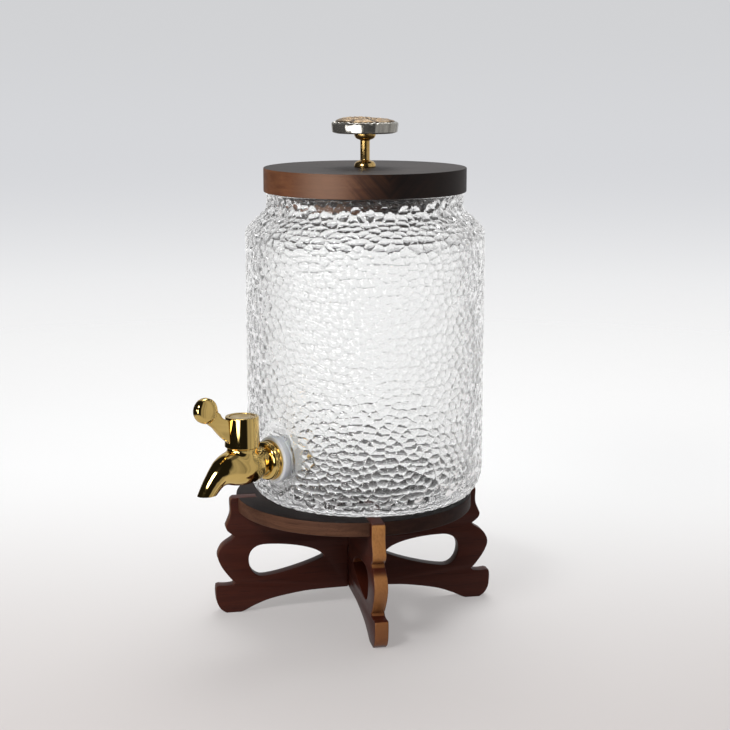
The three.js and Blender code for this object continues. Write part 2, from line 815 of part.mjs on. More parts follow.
// Heights here are from the handle's foot, so the valve's own heights are below zero.
function valveCore() {
  const top = -runGap;
  const axis = top - barrelHeight;
  const foot = axis - valveDepth + runGap;
  const outline = [dot(0, foot), dot(coreRadius, foot)];
  for (const middle of [axis - ringDrop, axis + ringRise]) {
    outline.push(
      dot(coreRadius, middle - ringGroove / 2),
      dot(ringSeat, middle - ringGroove / 2),
      dot(ringSeat, middle + ringGroove / 2),
      dot(coreRadius, middle + ringGroove / 2),
    );
  }
  outline.push(dot(coreRadius, top), dot(driveRadius, top), dot(driveRadius, driveHeight - runGap));
  outline.push(dot(0, driveHeight - runGap));
  const drive = block(
    new THREE.Vector3(driveFlat, -hubFootRadius, top),
    new THREE.Vector3(driveFlat + hubFootRadius, hubFootRadius, driveHeight + cutOver),
  );
  const port = new THREE.CylinderGeometry(corePort, corePort, valveBore + valveBore, smallSides)
    .rotateZ(quarterTurn)
    .translate(0, 0, axis);
  const tapped = post(handleScrewRadius + threadGap, driveHeight - handleScrewReach, driveHeight, smallSides);
  return cut(solidOf(turnedUp(outline, midSides)), drive, port, tapped);
}

function coreRing(offset) {
  const middle = -runGap - barrelHeight + offset;
  const ring = new THREE.TorusGeometry(ringSeat + seatGap + ringWire, ringWire, ringSides, midSides);
  return ring.rotateZ(quarterTurn).translate(0, 0, middle);
}

function makeHandle() {
  const handle = new THREE.Group();
  handle.position.set(0, -barrelReach, handleFoot);
  const headFoot = driveHeight + socketRoof + seatGap;
  const screw = cheeseHeadScrew(
    handleScrewRadius,
    driveHeight - handleScrewReach + runGap,
    headFoot,
    handleScrewHeadRadius,
    handleScrewHeadHeight,
  );
  handle.add(
    piece("tap_handle", tapHandle(), materials.gold),
    piece("handle_cap", handleCap(), materials.gold),
    piece("handle_screw", screw, materials.steel),
    piece("valve_core", valveCore(), materials.nutPlastic),
    piece("core_o_ring_upper", coreRing(ringRise), materials.darkRubber),
    piece("core_o_ring_lower", coreRing(-ringDrop), materials.darkRubber),
  );
  return handle;
}

// The lid is one board: a disc with a smaller plug turned on its underside, grooved for the seal.
function lidBoard() {
  const grooveTop = lidHeight - sealGrooveDrop;
  const grooveFoot = grooveTop - sealGrooveHeight;
  const board = turnedUp(
    [
      dot(0, plugFoot),
      dot(plugRadius - plugChamfer, plugFoot),
      dot(plugRadius, plugFoot + plugChamfer),
      dot(plugRadius, grooveFoot),
      dot(plugRadius - sealGrooveDepth, grooveFoot),
      dot(plugRadius - sealGrooveDepth, grooveTop),
      dot(plugRadius, grooveTop),
      dot(plugRadius, lidHeight),
      dot(lidRadius - lidChamfer, lidHeight),
      dot(lidRadius, lidHeight + lidChamfer),
      dot(lidRadius, lidTop - lidChamfer),
      dot(lidRadius - lidChamfer, lidTop),
      dot(0, lidTop),
    ],
    bigSides,
  );
  return cut(
    solidOf(board),
    post(lidHoleRadius, plugFoot - cutOver, lidTop + cutOver, smallSides),
    post(lidScrewPocket, plugFoot - cutOver, plugFoot + lidScrewPocketDepth),
  );
}

// The seal sits in the plug's groove and bears on the neck with two lips.
function lidSeal() {
  const top = lidHeight - sealGrooveDrop - seatGap;
  const foot = top - sealGrooveHeight + seatGap + seatGap;
  const inner = plugRadius - sealGrooveDepth + seatGap;
  const outer = neckRadius - jarWall - runGap;
  const third = (top - foot) / 3;
  return turnedUp(
    [
      dot(inner, foot),
      dot(plugRadius, foot),
      dot(outer - sealLip / 2, foot),
      dot(outer, foot + third / 2),
      dot(plugRadius + seatGap, foot + third),
      dot(plugRadius + seatGap, top - third),
      dot(outer, top - third / 2),
      dot(outer - sealLip / 2, top),
      dot(inner, top),
      dot(inner, foot),
    ],
    bigSides,
  );
}

// The stem has a domed flare at each end, and a spigot that enters the head.
function knobStem() {
  const top = knobUnder - seatGap;
  const span = flareRadius - stemRadius - stemFillet;
  const dome = flareHeight - flareFoot;
  const outline = new THREE.Path();
  outline.moveTo(0, knobFoot);
  outline.lineTo(flareRadius, knobFoot);
  outline.lineTo(flareRadius, knobFoot + flareFoot);
  outline.absellipse(stemRadius + stemFillet, knobFoot + flareFoot, span, dome, 0, quarterTurn, false, 0);
  outline.lineTo(stemRadius, knobFoot + flareHeight + stemFillet);
  outline.lineTo(stemRadius, top - flareHeight - stemFillet);
  outline.lineTo(stemRadius + stemFillet, top - flareHeight);
  outline.absellipse(stemRadius + stemFillet, top - flareFoot, span, dome, -quarterTurn, 0, false, 0);
  outline.lineTo(flareRadius, top);
  outline.lineTo(spigotRadius, top);
  outline.lineTo(spigotRadius, top + spigotLength);
  outline.lineTo(0, top + spigotLength);
  const tapped = post(lidScrewRadius + threadGap, knobFoot - cutOver, knobFoot + lidScrewReach, smallSides);
  return cut(solidOf(turnedUp(outline.getPoints(arcSteps), midSides)), tapped);
}

// The head is a cast disc whose edge wanders a little, as a hand-finished casting does.
function knobHead() {
  const disc = turnedUp(
    [
      dot(0, knobUnder),
      dot(knobRadius - knobEdge - knobEdge, knobUnder),
      dot(knobRadius - knobEdge, knobUnder + knobEdge),
      dot(knobRadius, knobTop - knobEdge),
      dot(knobRadius - knobEdge, knobTop),
      dot(0, knobTop),
    ],
    bigSides,
  );
  const points = disc.attributes.position;
  for (let i = 0; i < points.count; i++) {
    const turn = Math.atan2(points.getY(i), points.getX(i));
    const wander = 1 + knobRippleShare * (Math.sin(knobWavesSlow * turn) + Math.cos(knobWavesFast * turn));
    points.setXY(i, points.getX(i) * wander, points.getY(i) * wander);
  }
  return cut(
    solidOf(disc),
    post(reliefRadius + runGap, knobTop - reliefSeat, knobTop + cutOver, bigSides),
    post(spigotRadius + runGap, knobUnder - cutOver, knobUnder + spigotLength + runGap, smallSides),
  );
}

// The relief is a rosette: petals round a raised heart, thinning to the edge.
function knobRelief() {
  const foot = knobTop - reliefSeat + seatGap;
  const outline = [dot(0, foot), dot(reliefRadius, foot)];
  for (let ring = 0; ring <= reliefRings; ring++) {
    outline.push(dot(reliefRadius * (1 - ring / reliefRings), foot + reliefSeat));
  }
  const rosette = turnedUp(outline, bigSides);
  const points = rosette.attributes.position;
  for (let i = 0; i < points.count; i++) {
    if (points.getZ(i) < foot + reliefSeat / 2) continue;
    const out = Math.hypot(points.getX(i), points.getY(i)) / reliefRadius;
    const turn = Math.atan2(points.getY(i), points.getX(i));
    const cleft = (1 - Math.abs(Math.cos((reliefPetals / 2) * turn))) * Math.sin(Math.PI * out);
    const swell = Math.sqrt(Math.max(0, 1 - out * out)) * (1 - reliefCleftShare * cleft);
    points.setZ(i, foot + reliefSeat + reliefRise * swell);
  }
  return rosette;
}

function makeLid() {
  const lid = new THREE.Group();
  const pocketRoof = plugFoot + lidScrewPocketDepth;
  const washerFoot = pocketRoof - seatGap - lidWasherThickness;
  const ring = turnedUp(
    [
      dot(lidScrewRadius + runGap, washerFoot),
      dot(lidWasherRadius, washerFoot),
      dot(lidWasherRadius, pocketRoof - seatGap),
      dot(lidScrewRadius + runGap, pocketRoof - seatGap),
      dot(lidScrewRadius + runGap, washerFoot),
    ],
    smallSides,
  );
  const screwTop = knobFoot + lidScrewReach - runGap;
  const screw = cheeseHeadScrew(
    lidScrewRadius,
    -screwTop,
    -(washerFoot - seatGap),
    lidScrewHeadRadius,
    lidScrewHeadHeight,
  );
  const screwPiece = piece("knob_screw", screw, materials.steel);
  screwPiece.rotation.x = Math.PI;
  lid.add(
    piece("lid_board", lidBoard(), materials.walnut),
    piece("lid_seal", lidSeal(), materials.silicone),
    piece("knob_stem", knobStem(), materials.gold),
    piece("knob_head", knobHead(), materials.nickel),
    piece("knob_relief", knobRelief(), materials.reliefGold),
    piece("knob_screw_washer", ring, materials.steel),
    screwPiece,
  );
  return lid;
}

const dispenser = new THREE.Group();
const jar = new THREE.Group();
jar.position.set(jarAcross, jarAlong, 0);
jar.add(piece("glass_jar", glassJar(), materials.glass), makeTap(), makeHandle(), makeLid());
dispenser.add(makeStand(), jar);

// The origin is the middle of the whole object's footprint, on the floor.
const box = new THREE.Box3().setFromObject(dispenser, true);
dispenser.position.set(-(box.min.x + box.max.x) / 2, -(box.min.y + box.max.y) / 2, 0);

export default dispenser;
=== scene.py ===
"""The looks of a glass beverage dispenser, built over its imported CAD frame.

Shapes are written in millimetres and turned into metres by solid(). Places are named as in the CAD model:
the jar's axis, the tap's axis, the barrel's axis and the stand's axis.
"""

import json
import random
from math import acos, atan2, copysign, cos, exp, hypot, pi, radians, sin, sqrt, tan

import bmesh
import bpy
import numpy as np
from mathutils import Matrix, Vector, kdtree, noise


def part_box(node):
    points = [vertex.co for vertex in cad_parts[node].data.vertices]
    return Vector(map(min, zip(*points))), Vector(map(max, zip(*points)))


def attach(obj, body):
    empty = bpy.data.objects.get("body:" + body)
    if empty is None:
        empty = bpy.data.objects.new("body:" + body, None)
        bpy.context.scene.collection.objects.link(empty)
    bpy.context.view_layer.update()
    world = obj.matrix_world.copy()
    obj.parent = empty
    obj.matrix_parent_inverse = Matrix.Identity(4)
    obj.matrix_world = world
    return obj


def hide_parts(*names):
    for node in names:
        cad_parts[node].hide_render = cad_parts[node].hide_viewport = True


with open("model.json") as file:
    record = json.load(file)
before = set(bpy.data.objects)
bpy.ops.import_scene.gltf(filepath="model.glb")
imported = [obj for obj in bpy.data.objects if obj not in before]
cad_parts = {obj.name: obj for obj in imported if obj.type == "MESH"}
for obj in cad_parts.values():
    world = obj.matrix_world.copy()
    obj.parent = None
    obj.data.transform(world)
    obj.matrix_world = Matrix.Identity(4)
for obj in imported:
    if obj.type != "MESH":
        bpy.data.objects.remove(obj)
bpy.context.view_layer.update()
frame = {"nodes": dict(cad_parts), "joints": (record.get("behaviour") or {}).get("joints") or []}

MM = 0.001
SEATED = 0.05  # between pieces that stand on each other, in millimetres
CAMERA_AZIMUTH = radians(48.8)
FRONT = (sin(CAMERA_AZIMUTH), -cos(CAMERA_AZIMUTH), 0)
RIGHT = (cos(CAMERA_AZIMUTH), sin(CAMERA_AZIMUTH), 0)


def box_mm(name):
    low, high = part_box(name)
    return np.array(low) / MM, np.array(high) / MM


def axis_of(name):
    low, high = box_mm(name)
    return (low[0] + high[0]) / 2, (low[1] + high[1]) / 2


def heights(name):
    """The lowest and the highest point of a CAD node."""
    return (corner[2] for corner in box_mm(name))


# Places from the CAD
JAR_AXIS = JAR_X, JAR_Y = axis_of("glass_jar")
STAND_AXIS = axis_of("stand_plate")
JAR_FOOT, RIM_TOP = heights("glass_jar")
PLATE_UNDER, STAND_TOP = heights("stand_plate")
TAP_TURN = next(j for j in frame["joints"] if j["name"] == "tap_turn")["pos_m"]
BARREL_REACH = JAR_Y - TAP_TURN[1] / MM
BARREL = (JAR_X, JAR_Y - BARREL_REACH)
TAP_Z = sum(heights("outer_washer")) / 2
HANDLE_FOOT, _ = heights("tap_handle")
LID_FOOT, LID_TOP = heights("lid_board")
KNOB_UNDER, KNOB_TOP = heights("knob_head")
_, RELIEF_TOP = heights("knob_relief")


# Mesh helpers


def added(name, data):
    """An object of this mesh, curve, lamp or camera, in the scene."""
    thing = bpy.data.objects.new(name, data)
    bpy.context.scene.collection.objects.link(thing)
    return thing


def softened(thing, angle):
    """Smooth shading, with edges sharper than this many degrees kept crisp."""
    thing.data.shade_smooth()
    thing.data.set_sharp_from_angle(angle=radians(angle))
    return thing


def cleaned(mesh, weld):
    """Turns the faces outwards, once points that lie on each other are joined if that is asked."""
    bm = bmesh.new()
    bm.from_mesh(mesh)
    if weld:
        bmesh.ops.remove_doubles(bm, verts=bm.verts, dist=1e-7)
    bmesh.ops.recalc_face_normals(bm, faces=bm.faces)
    bm.to_mesh(mesh)
    bm.free()


def solid(name, points, faces, smooth=35, weld=False):
    """An object of these points, in millimetres."""
    mesh = bpy.data.meshes.new(name)
    mesh.from_pydata([tuple(p) for p in np.asarray(points, float) * MM], [], faces)
    cleaned(mesh, weld)
    return softened(added(name, mesh), smooth)


def evaluated_mesh(thing):
    """The mesh of an object with its modifiers applied."""
    return bpy.data.meshes.new_from_object(thing.evaluated_get(bpy.context.evaluated_depsgraph_get()))


def baked(thing):
    """Applies the object's modifiers for good."""
    mesh = evaluated_mesh(thing)
    thing.modifiers.clear()
    thing.data = mesh
    return thing


def combine(thing, tool, operation="DIFFERENCE", smooth=30):
    """Joins or cuts with another solid, which is used up."""
    modifier = thing.modifiers.new("combine", "BOOLEAN")
    modifier.operation = operation
    modifier.solver = "MANIFOLD"
    modifier.object = tool
    baked(thing)
    bpy.data.objects.remove(tool)
    return softened(thing, smooth)


def rounded(outline, steps=4):
    """An outline whose points may carry a third number, the radius of a round at that corner."""
    made = []
    for i, point in enumerate(outline):
        here = np.array(point[:2], float)
        if len(point) < 3 or i in (0, len(outline) - 1):
            made.append(here)
            continue
        back = np.array(outline[i - 1][:2], float) - here
        ahead = np.array(outline[i + 1][:2], float) - here
        long_back, long_ahead = np.linalg.norm(back), np.linalg.norm(ahead)
        turn = acos(np.clip(back @ ahead / (long_back * long_ahead), -1, 1))
        reach = min(point[2] / tan(turn / 2), 0.48 * long_back, 0.48 * long_ahead)
        start, end = here + back / long_back * reach, here + ahead / long_ahead * reach
        for t in np.linspace(0, 1, steps + 1):
            made.append((1 - t) ** 2 * start + 2 * t * (1 - t) * here + t**2 * end)
    return made


def arc(centre, radii, start, end, steps):
    """Points on an ellipse about a centre, between two angles in degrees."""
    turns = np.radians(np.linspace(start, end, steps + 1))
    return [(centre[0] + radii[0] * cos(t), centre[1] + radii[1] * sin(t)) for t in turns]


def spline(points, steps):
    """A smooth line through the points."""
    padded = [points[0], *points, points[-1]]
    made = []
    for i in range(1, len(padded) - 2):
        a, b, c, d = (np.array(p, float) for p in padded[i - 1 : i + 3])
        for t in np.linspace(0, 1, steps, endpoint=False):
            made.append(
                (2 * t**3 - 3 * t**2 + 1) * b
                + (t**3 - 2 * t**2 + t) * (c - a) / 2
                + (3 * t**2 - 2 * t**3) * c
                + (t**3 - t**2) * (d - b) / 2
            )
    made.append(np.array(points[-1], float))
    return made


def rod(radius, low, high):
    """The outline of a cylinder."""
    return [(0, low), (radius, low), (radius, high), (0, high)]


def turned_points(outline, sides):
    """Rings of points for an outline turned about the upright axis, and the faces between them."""
    turns = np.linspace(0, 2 * pi, sides, endpoint=False)
    points, faces, rings = [], [], []
    for radius, height in outline:
        if radius < 1e-9:
            rings.append([len(points)])
            points.append((0, 0, height))
            continue
        rings.append(list(range(len(points), len(points) + sides)))
        points.extend((radius * cos(t), radius * sin(t), height) for t in turns)
    for low, high in zip(rings, rings[1:]):
        for s in range(sides):
            n = (s + 1) % sides
            if len(low) == 1:
                faces.append((low[0], high[s], high[n]))
            elif len(high) == 1:
                faces.append((low[s], low[n], high[0]))
            else:
                faces.append((low[s], low[n], high[n], high[s]))
    return np.array(points, float), faces


def turned(name, outline, at, sides=128, smooth=35):
    """A solid turned about an upright axis at (x, y)."""
    points, faces = turned_points(outline, sides)
    return solid(name, points + (at[0], at[1], 0), faces, smooth)


def turned_along_tap(name, outline, sides=128, weld=False):
    """A solid turned about the tap's axis, its heights given as reaches from the jar's axis."""
    points, faces = turned_points(outline, sides)
    x, z, reach = points.T
    return solid(name, np.stack([JAR_X + x, JAR_Y - reach, TAP_Z + z], axis=1), faces, weld=weld)


def bored(thing, radius, low, high, at, sides, smooth=30):
    """Cuts an upright round hole."""
    return combine(thing, turned("bore", rod(radius, low, high), at, sides), smooth=smooth)


def block(name, low, high):
    """A square-edged cutting tool between two corners."""
    x, y, z = zip(low, high)
    points = [(x[i], y[j], z[k]) for i in (0, 1) for j in (0, 1) for k in (0, 1)]
    faces = [(0, 1, 3, 2), (4, 6, 7, 5), (0, 4, 5, 1), (2, 3, 7, 6), (0, 2, 6, 4), (1, 5, 7, 3)]
    return solid(name, points, faces)


def ball(name, centre, radii, power=2.0, order=(0, 1, 2), rings=48):
    """An ellipsoid, or a fuller form of the same size where the power is over 2.

    The order says which way the poles lie.
    """
    outline = []
    for t in np.linspace(-pi / 2, pi / 2, rings + 1):
        up = copysign(abs(sin(t)) ** (2 / power), t)
        outline.append((max(cos(t), 0) ** (2 / power), up))
    outline[0], outline[-1] = (0, -1), (0, 1)
    points, faces = turned_points(outline, rings * 2)
    return solid(name, points[:, order] * radii + centre, faces, 180)


def tube(name, centres, radii, sides=64):
    """A round tube in the tap's upright plane through centres of (reach, height)."""
    points = []
    count = len(centres)
    for i, (reach, height) in enumerate(centres):
        run = np.array(centres[min(count - 1, i + 1)]) - np.array(centres[max(0, i - 1)])
        run = run / np.linalg.norm(run)
        for t in np.linspace(0, 2 * pi, sides, endpoint=False):
            across, up = radii[i] * cos(t), radii[i] * sin(t)
            points.append((JAR_X + across, JAR_Y - (reach - run[1] * up), height + run[0] * up))
    return solid(name, points, stacked_faces(count, sides))


def stacked_faces(layers, count):
    """Faces round a stack of layers of points, and the two flat ends."""
    faces = []
    for k in range(layers - 1):
        for i in range(count):
            n = (i + 1) % count
            faces.append((k * count + i, k * count + n, (k + 1) * count + n, (k + 1) * count + i))
    return faces + [tuple(range(count)), tuple(range((layers - 1) * count, layers * count))]


def voxel_joined(name, things, voxel):
    """One skin over several overlapping solids, in even faces."""
    whole = things[0]
    for other in things[1:]:
        combine(whole, other, "UNION")
    whole.name = name
    modifier = whole.modifiers.new("remesh", "REMESH")
    modifier.mode = "VOXEL"
    modifier.voxel_size = voxel * MM
    return baked(whole)


def settled(thing, field, rounds=6):
    """Moves each point onto the surface where field, in millimetres, is zero."""
    mesh = thing.data
    flat = np.zeros(len(mesh.vertices) * 3)
    mesh.vertices.foreach_get("co", flat)
    points = flat.reshape(-1, 3) / MM
    small = 0.05
    for _ in range(rounds):
        value = field(points)
        steps = np.eye(3) * small
        slope = np.stack([(field(points + s) - field(points - s)) / (2 * small) for s in steps], axis=1)
        move = value / np.maximum((slope**2).sum(1), 0.05)
        points -= slope * np.clip(move, -0.6, 0.6)[:, None]
    mesh.vertices.foreach_set("co", (points * MM).ravel())
    mesh.update()
    return softened(thing, 180)


def blended(a, b, reach):
    """The union of two fields with a round in the corner between them."""
    near = np.maximum(reach - np.abs(a - b), 0) / reach
    return np.minimum(a, b) - near * near * reach / 4


def ease(value, low, high):
    """0 below low, 1 above high and a smooth rise between."""
    share = np.clip((value - low) / (high - low), 0, 1)
    return share * share * (3 - 2 * share)


def dress(thing, material):
    thing.data.materials.clear()
    thing.data.materials.append(material)


def place(thing, body, material, cad_node):
    """Gives a finished piece its material, and says what it rides on and stands for."""
    dress(thing, material)
    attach(thing, body)
    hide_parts(cad_node)


# Material helpers


def node(tree, kind, inputs=None, **settings):
    """Adds a shader node; an input is a number, vector or colour, or an output. Returns its own outputs."""
    made = tree.nodes.new("ShaderNode" + kind)
    for name, value in settings.items():
        setattr(made, name, value)
    for key, value in (inputs or {}).items():
        socket = made.inputs[key]
        if isinstance(value, bpy.types.NodeSocket):
            tree.links.new(value, socket)
        else:
            socket.default_value = (*value, 1) if socket.type == "RGBA" else value
    return made.outputs


def fed(kind, inputs, **settings):
    """Adds a shader node to the tree that its inputs come from."""
    tree = next(value.id_data for value in inputs.values() if isinstance(value, bpy.types.NodeSocket))
    return node(tree, kind, inputs, **settings)


def mathed(operation, a, b=0.0):
    return fed("Math", {0: a, 1: b}, operation=operation)[0]


def times(first, *others):
    for other in others:
        first = mathed("MULTIPLY", first, other)
    return first


def size_of(value, less=0.0):
    """The value less a number, without its sign."""
    return mathed("ABSOLUTE", mathed("SUBTRACT", value, less))


def vectored(operation, a, b=(0, 0, 0)):
    """Vector maths; a length or a dot product comes out as a number."""
    made = fed("VectorMath", {0: a, 1: b}, operation=operation)
    return made["Value" if operation in ("LENGTH", "DOT_PRODUCT") else "Vector"]


def parts_of(vector):
    """The vector's x, y and z."""
    return fed("SeparateXYZ", {0: vector})


def mixed(share, a, b, blend="MIX"):
    return fed("Mix", {0: share, 6: a, 7: b}, data_type="RGBA", blend_type=blend)[2]


def shader_mix(share, a, b):
    return fed("MixShader", {0: share, 1: a, 2: b})[0]


def ranged(value, low, high, to_low=0.0, to_high=1.0, kind="SMOOTHSTEP"):
    inputs = {"Value": value, "From Min": low, "From Max": high, "To Min": to_low, "To Max": to_high}
    return fed("MapRange", inputs, interpolation_type=kind)[0]


def noise_of(vector, scale, detail=3.0, rough=0.5, distort=0.0):
    inputs = {"Vector": vector, "Scale": scale, "Detail": detail, "Roughness": rough, "Distortion": distort}
    return fed("TexNoise", inputs)[0]


def line_noise(way, scale, detail):
    inputs = {"W": way, "Scale": scale, "Detail": detail}
    return fed("TexNoise", inputs, noise_dimensions="1D")[0]


def object_place(tree):
    return node(tree, "TexCoord")["Object"]


def stretched(where, stretch):
    return fed("Mapping", {"Vector": where, "Scale": stretch})[0]


def local_place(tree, turn=0.0, stretch=(1, 1, 1), shift=(0, 0, 0)):
    """Object coordinates, turned about the upright axis, shifted and stretched."""
    inputs = {"Vector": object_place(tree), "Rotation": (0, 0, -turn), "Location": shift}
    return stretched(fed("Mapping", inputs)[0], stretch)


def from_axis(tree, centre):
    """The flat offset from an upright axis, in metres."""
    away = vectored("SUBTRACT", object_place(tree), (centre[0] * MM, centre[1] * MM, 0))
    return vectored("MULTIPLY", away, (1, 1, 0))


def reach_along(tree, centre, direction):
    """How far a place lies from an upright axis in a level direction, in metres."""
    return vectored("DOT_PRODUCT", from_axis(tree, centre), direction)


def radial_share(tree, centre):
    """How squarely the surface faces away from an upright axis, 0 to 1."""
    unit = vectored("NORMALIZE", from_axis(tree, centre))
    return vectored("DOT_PRODUCT", node(tree, "NewGeometry")["Normal"], unit)


def bumped(height, strength, distance):
    return fed("Bump", {"Height": height, "Strength": strength, "Distance": distance})[0]


def empty_tree(owner):
    owner.use_nodes = True
    owner.node_tree.nodes.clear()
    return owner, owner.node_tree


def new_material(name):
    return empty_tree(bpy.data.materials.new(name))


def finished(made, shader):
    """Ends the material's tree and returns the material."""
    fed("OutputMaterial", {"Surface": shader})
    return made


def principled(colour, rough, normal, others):
    inputs = {"Base Color": colour, "Roughness": rough, "Normal": normal, **others}
    return fed("BsdfPrincipled", inputs)[0]


def coated(made, colour, rough, normal, others):
    """Finishes a material that is one Principled surface."""
    return finished(made, principled(colour, rough, normal, others))


# Materials


def metal(name, colour, rough, tarnish, bump=0.05, grain=260, streak=0.25, plated=1.0):
    """Polished metal with a faint unevenness, so that its reflections waver as plating does."""
    made, tree = new_material(name)
    wave = noise_of(local_place(tree, stretch=(1, 1, streak)), grain, 2.0)
    cloud = noise_of(local_place(tree), 35, 4.0)
    shade = mixed(ranged(cloud, 0.35, 0.7), colour, tarnish)
    roughness = ranged(cloud, 0.3, 0.7, rough * 0.7, rough * 1.5)
    return coated(made, shade, roughness, bumped(wave, bump, 0.0003), {"Metallic": plated})


def moulded(name, colour, rough, glow=0.0):
    """Moulded plastic or rubber: a fine skin texture and slight clouding."""
    made, tree = new_material(name)
    where = local_place(tree)
    cloud = noise_of(where, 60)
    shade = mixed(ranged(cloud, 0.3, 0.7), colour, tuple(c * 0.88 for c in colour))
    roughness = ranged(cloud, 0.3, 0.7, rough * 0.9, rough * 1.1)
    skin = bumped(noise_of(where, 900, 2.0), 0.08, 0.0001)
    soft = {"Subsurface Weight": glow, "Subsurface Radius": (0.004, 0.004, 0.005), "IOR": 1.41}
    return coated(made, shade, roughness, skin, soft)


def glass_material(name):
    """Clear glass. Lamps shine through it, since rays to a lamp pass straight on."""
    made, tree = new_material(name)
    ripple = bumped(noise_of(local_place(tree), 45, 1.0), 0.1, 0.0004)
    glass = principled((0.998, 1.0, 0.999), 0.0, ripple, {"Transmission Weight": 1.0, "IOR": 1.5})
    clear = node(tree, "BsdfTransparent", {"Color": (0.94, 0.95, 0.95)})[0]
    path = node(tree, "LightPath")
    passing = mathed("MAXIMUM", path["Is Shadow Ray"], path["Is Diffuse Ray"])
    return finished(made, shader_mix(passing, glass, clear))


def grain_colours(where, dark, light, deep):
    """Colour and height of wood grain that runs along the first axis of where."""
    figure = noise_of(stretched(where, (6, 90, 90)), 1.0, 5.0, 0.55, 0.6)
    pores = noise_of(stretched(where, (40, 1500, 1500)), 1.0, 2.0, 0.6)
    open_pores = ranged(pores, 0.56, 0.72)
    colour = mixed(ranged(figure, 0.32, 0.68), dark, light)
    height = mathed("SUBTRACT", figure, times(open_pores, 0.8))
    return mixed(open_pores, colour, deep), height


def wooden(made, colour, height, rough, shine):
    """Finishes a wood, its pores slightly sunk."""
    normal = bumped(height, 0.2, 0.0002)
    return coated(made, colour, rough, normal, {"Specular IOR Level": shine})


def painted_right_shade(tree, colour, centre, spread, least):
    """Painted shade: darkens the colour towards the camera's right, the side that gets less light."""
    wobble = times(noise_of(local_place(tree), 30), 0.012)
    across = mathed("ADD", reach_along(tree, centre, RIGHT), wobble)
    deep = mixed(1.0, colour, (least, least * 0.85, least), "MULTIPLY")
    return mixed(ranged(across, *spread), colour, deep)


PETALS = 8
# Colours of grain: the dark and the light of its figure, and its pores
LEG_FACE = (0.050, 0.0085, 0.0038), (0.070, 0.0130, 0.0055), (0.034, 0.0060, 0.0030)
# Leg edges: painted shade at the foot, painted light at the top, and specks
LEG_EDGE_SHADED_FOOT, LEG_EDGE_LIT_TOP, LEG_SPECK = (0.22, 0.078, 0.027), (0.46, 0.205, 0.062), (0.22, 0.085, 0.028)
LID_FACE = (0.017, 0.0115, 0.0095), (0.031, 0.020, 0.0165), (0.010, 0.007, 0.006)
LID_SIDE = (0.135, 0.046, 0.018), (0.20, 0.076, 0.030), (0.09, 0.030, 0.012)
# The lid side's mottle, its painted sheen and its streaks of grain
LID_MOTTLE, LID_PAINTED_SHEEN, LID_STREAK = (0.075, 0.028, 0.012), (0.30, 0.175, 0.115), (0.052, 0.019, 0.011)
# The plate's top: dark stain with painted shade of the jar above it
PLATE_TOP_STAIN_AND_SHADE = (0.008, 0.004, 0.0035), (0.018, 0.008, 0.006), (0.004, 0.002, 0.002)
PLATE_SIDE = (0.085, 0.036, 0.020), (0.14, 0.062, 0.034), (0.05, 0.020, 0.012)
# Where the painted shade on the right begins and ends, in metres to the right of the axis
LID_RIGHT_SHADE = (-0.021, 0.032)
PLATE_RIGHT_SHADE = (-0.010, 0.045)
LID_GRAIN_TURN = 0.4
PLATE_GRAIN_TURN = 0.35


def leg_wood(name, turn):
    """Stained wood: dark red-brown faces, and cut edges that the stain leaves golden, with painted light
    that makes them lighter towards the top.
    """
    made, tree = new_material(name)
    where = local_place(tree, turn)
    colour, height = grain_colours(where, *LEG_FACE)
    # Painted light: the golden edges grow lighter towards the top.
    up = ranged(parts_of(where)[2], 0.005, 0.08, kind="LINEAR")
    speck = noise_of(local_place(tree, turn, (1, 1, 0.5)), 900, 2.0)
    edge = mixed(up, LEG_EDGE_SHADED_FOOT, LEG_EDGE_LIT_TOP)
    edge = mixed(ranged(speck, 0.35, 0.7, 0.0, 0.35), edge, LEG_SPECK)
    facing = size_of(radial_share(tree, STAND_AXIS))
    length = vectored("LENGTH", from_axis(tree, STAND_AXIS))
    # The golden edges show mostly on the ends that lie towards the front.
    toward_front = ranged(reach_along(tree, STAND_AXIS, FRONT), 0.04, 0.08, 0.15, 1.0)
    share = times(ranged(facing, 0.5, 0.8), ranged(length, 0.012, 0.02), toward_front)
    return wooden(made, mixed(share, colour, edge), height, 0.42, 0.2)


def lid_wood(name):
    """Walnut: a dark satin face, and a side on which the grain meets in a slanting V, with a painted sheen
    on its left and painted shade on its right.
    """
    made, tree = new_material(name)
    face, height = grain_colours(local_place(tree, LID_GRAIN_TURN, shift=(0.013, 0.021, 0)), *LID_FACE)
    side, _ = grain_colours(local_place(tree, LID_GRAIN_TURN, (1, 1, 2.2)), *LID_SIDE)
    across = reach_along(tree, JAR_AXIS, RIGHT)
    up = parts_of(local_place(tree))[2]
    mottle = ranged(noise_of(local_place(tree), 55), 0.35, 0.65, 0.0, 0.35)
    side = mixed(mottle, side, LID_MOTTLE)
    # Painted sheen: a pale patch on the left of the side.
    side = mixed(ranged(size_of(across, -0.026), 0.003, 0.026, 0.5, 0.0), side, LID_PAINTED_SHEEN)
    off = size_of(across, 0.016)
    lines = line_noise(mathed("SUBTRACT", off, times(up, 0.9)), 330.0, 2.0)
    near = ranged(off, 0.012, 0.032, 0.75, 0.0)
    side = mixed(times(ranged(lines, 0.40, 0.62), near), side, LID_STREAK)
    # Painted shade: the side darkens towards the right.
    side = painted_right_shade(tree, side, JAR_AXIS, LID_RIGHT_SHADE, 0.075)
    share = ranged(radial_share(tree, JAR_AXIS), 0.3, 0.7)
    return wooden(made, mixed(share, face, side), height, 0.52, 0.24)


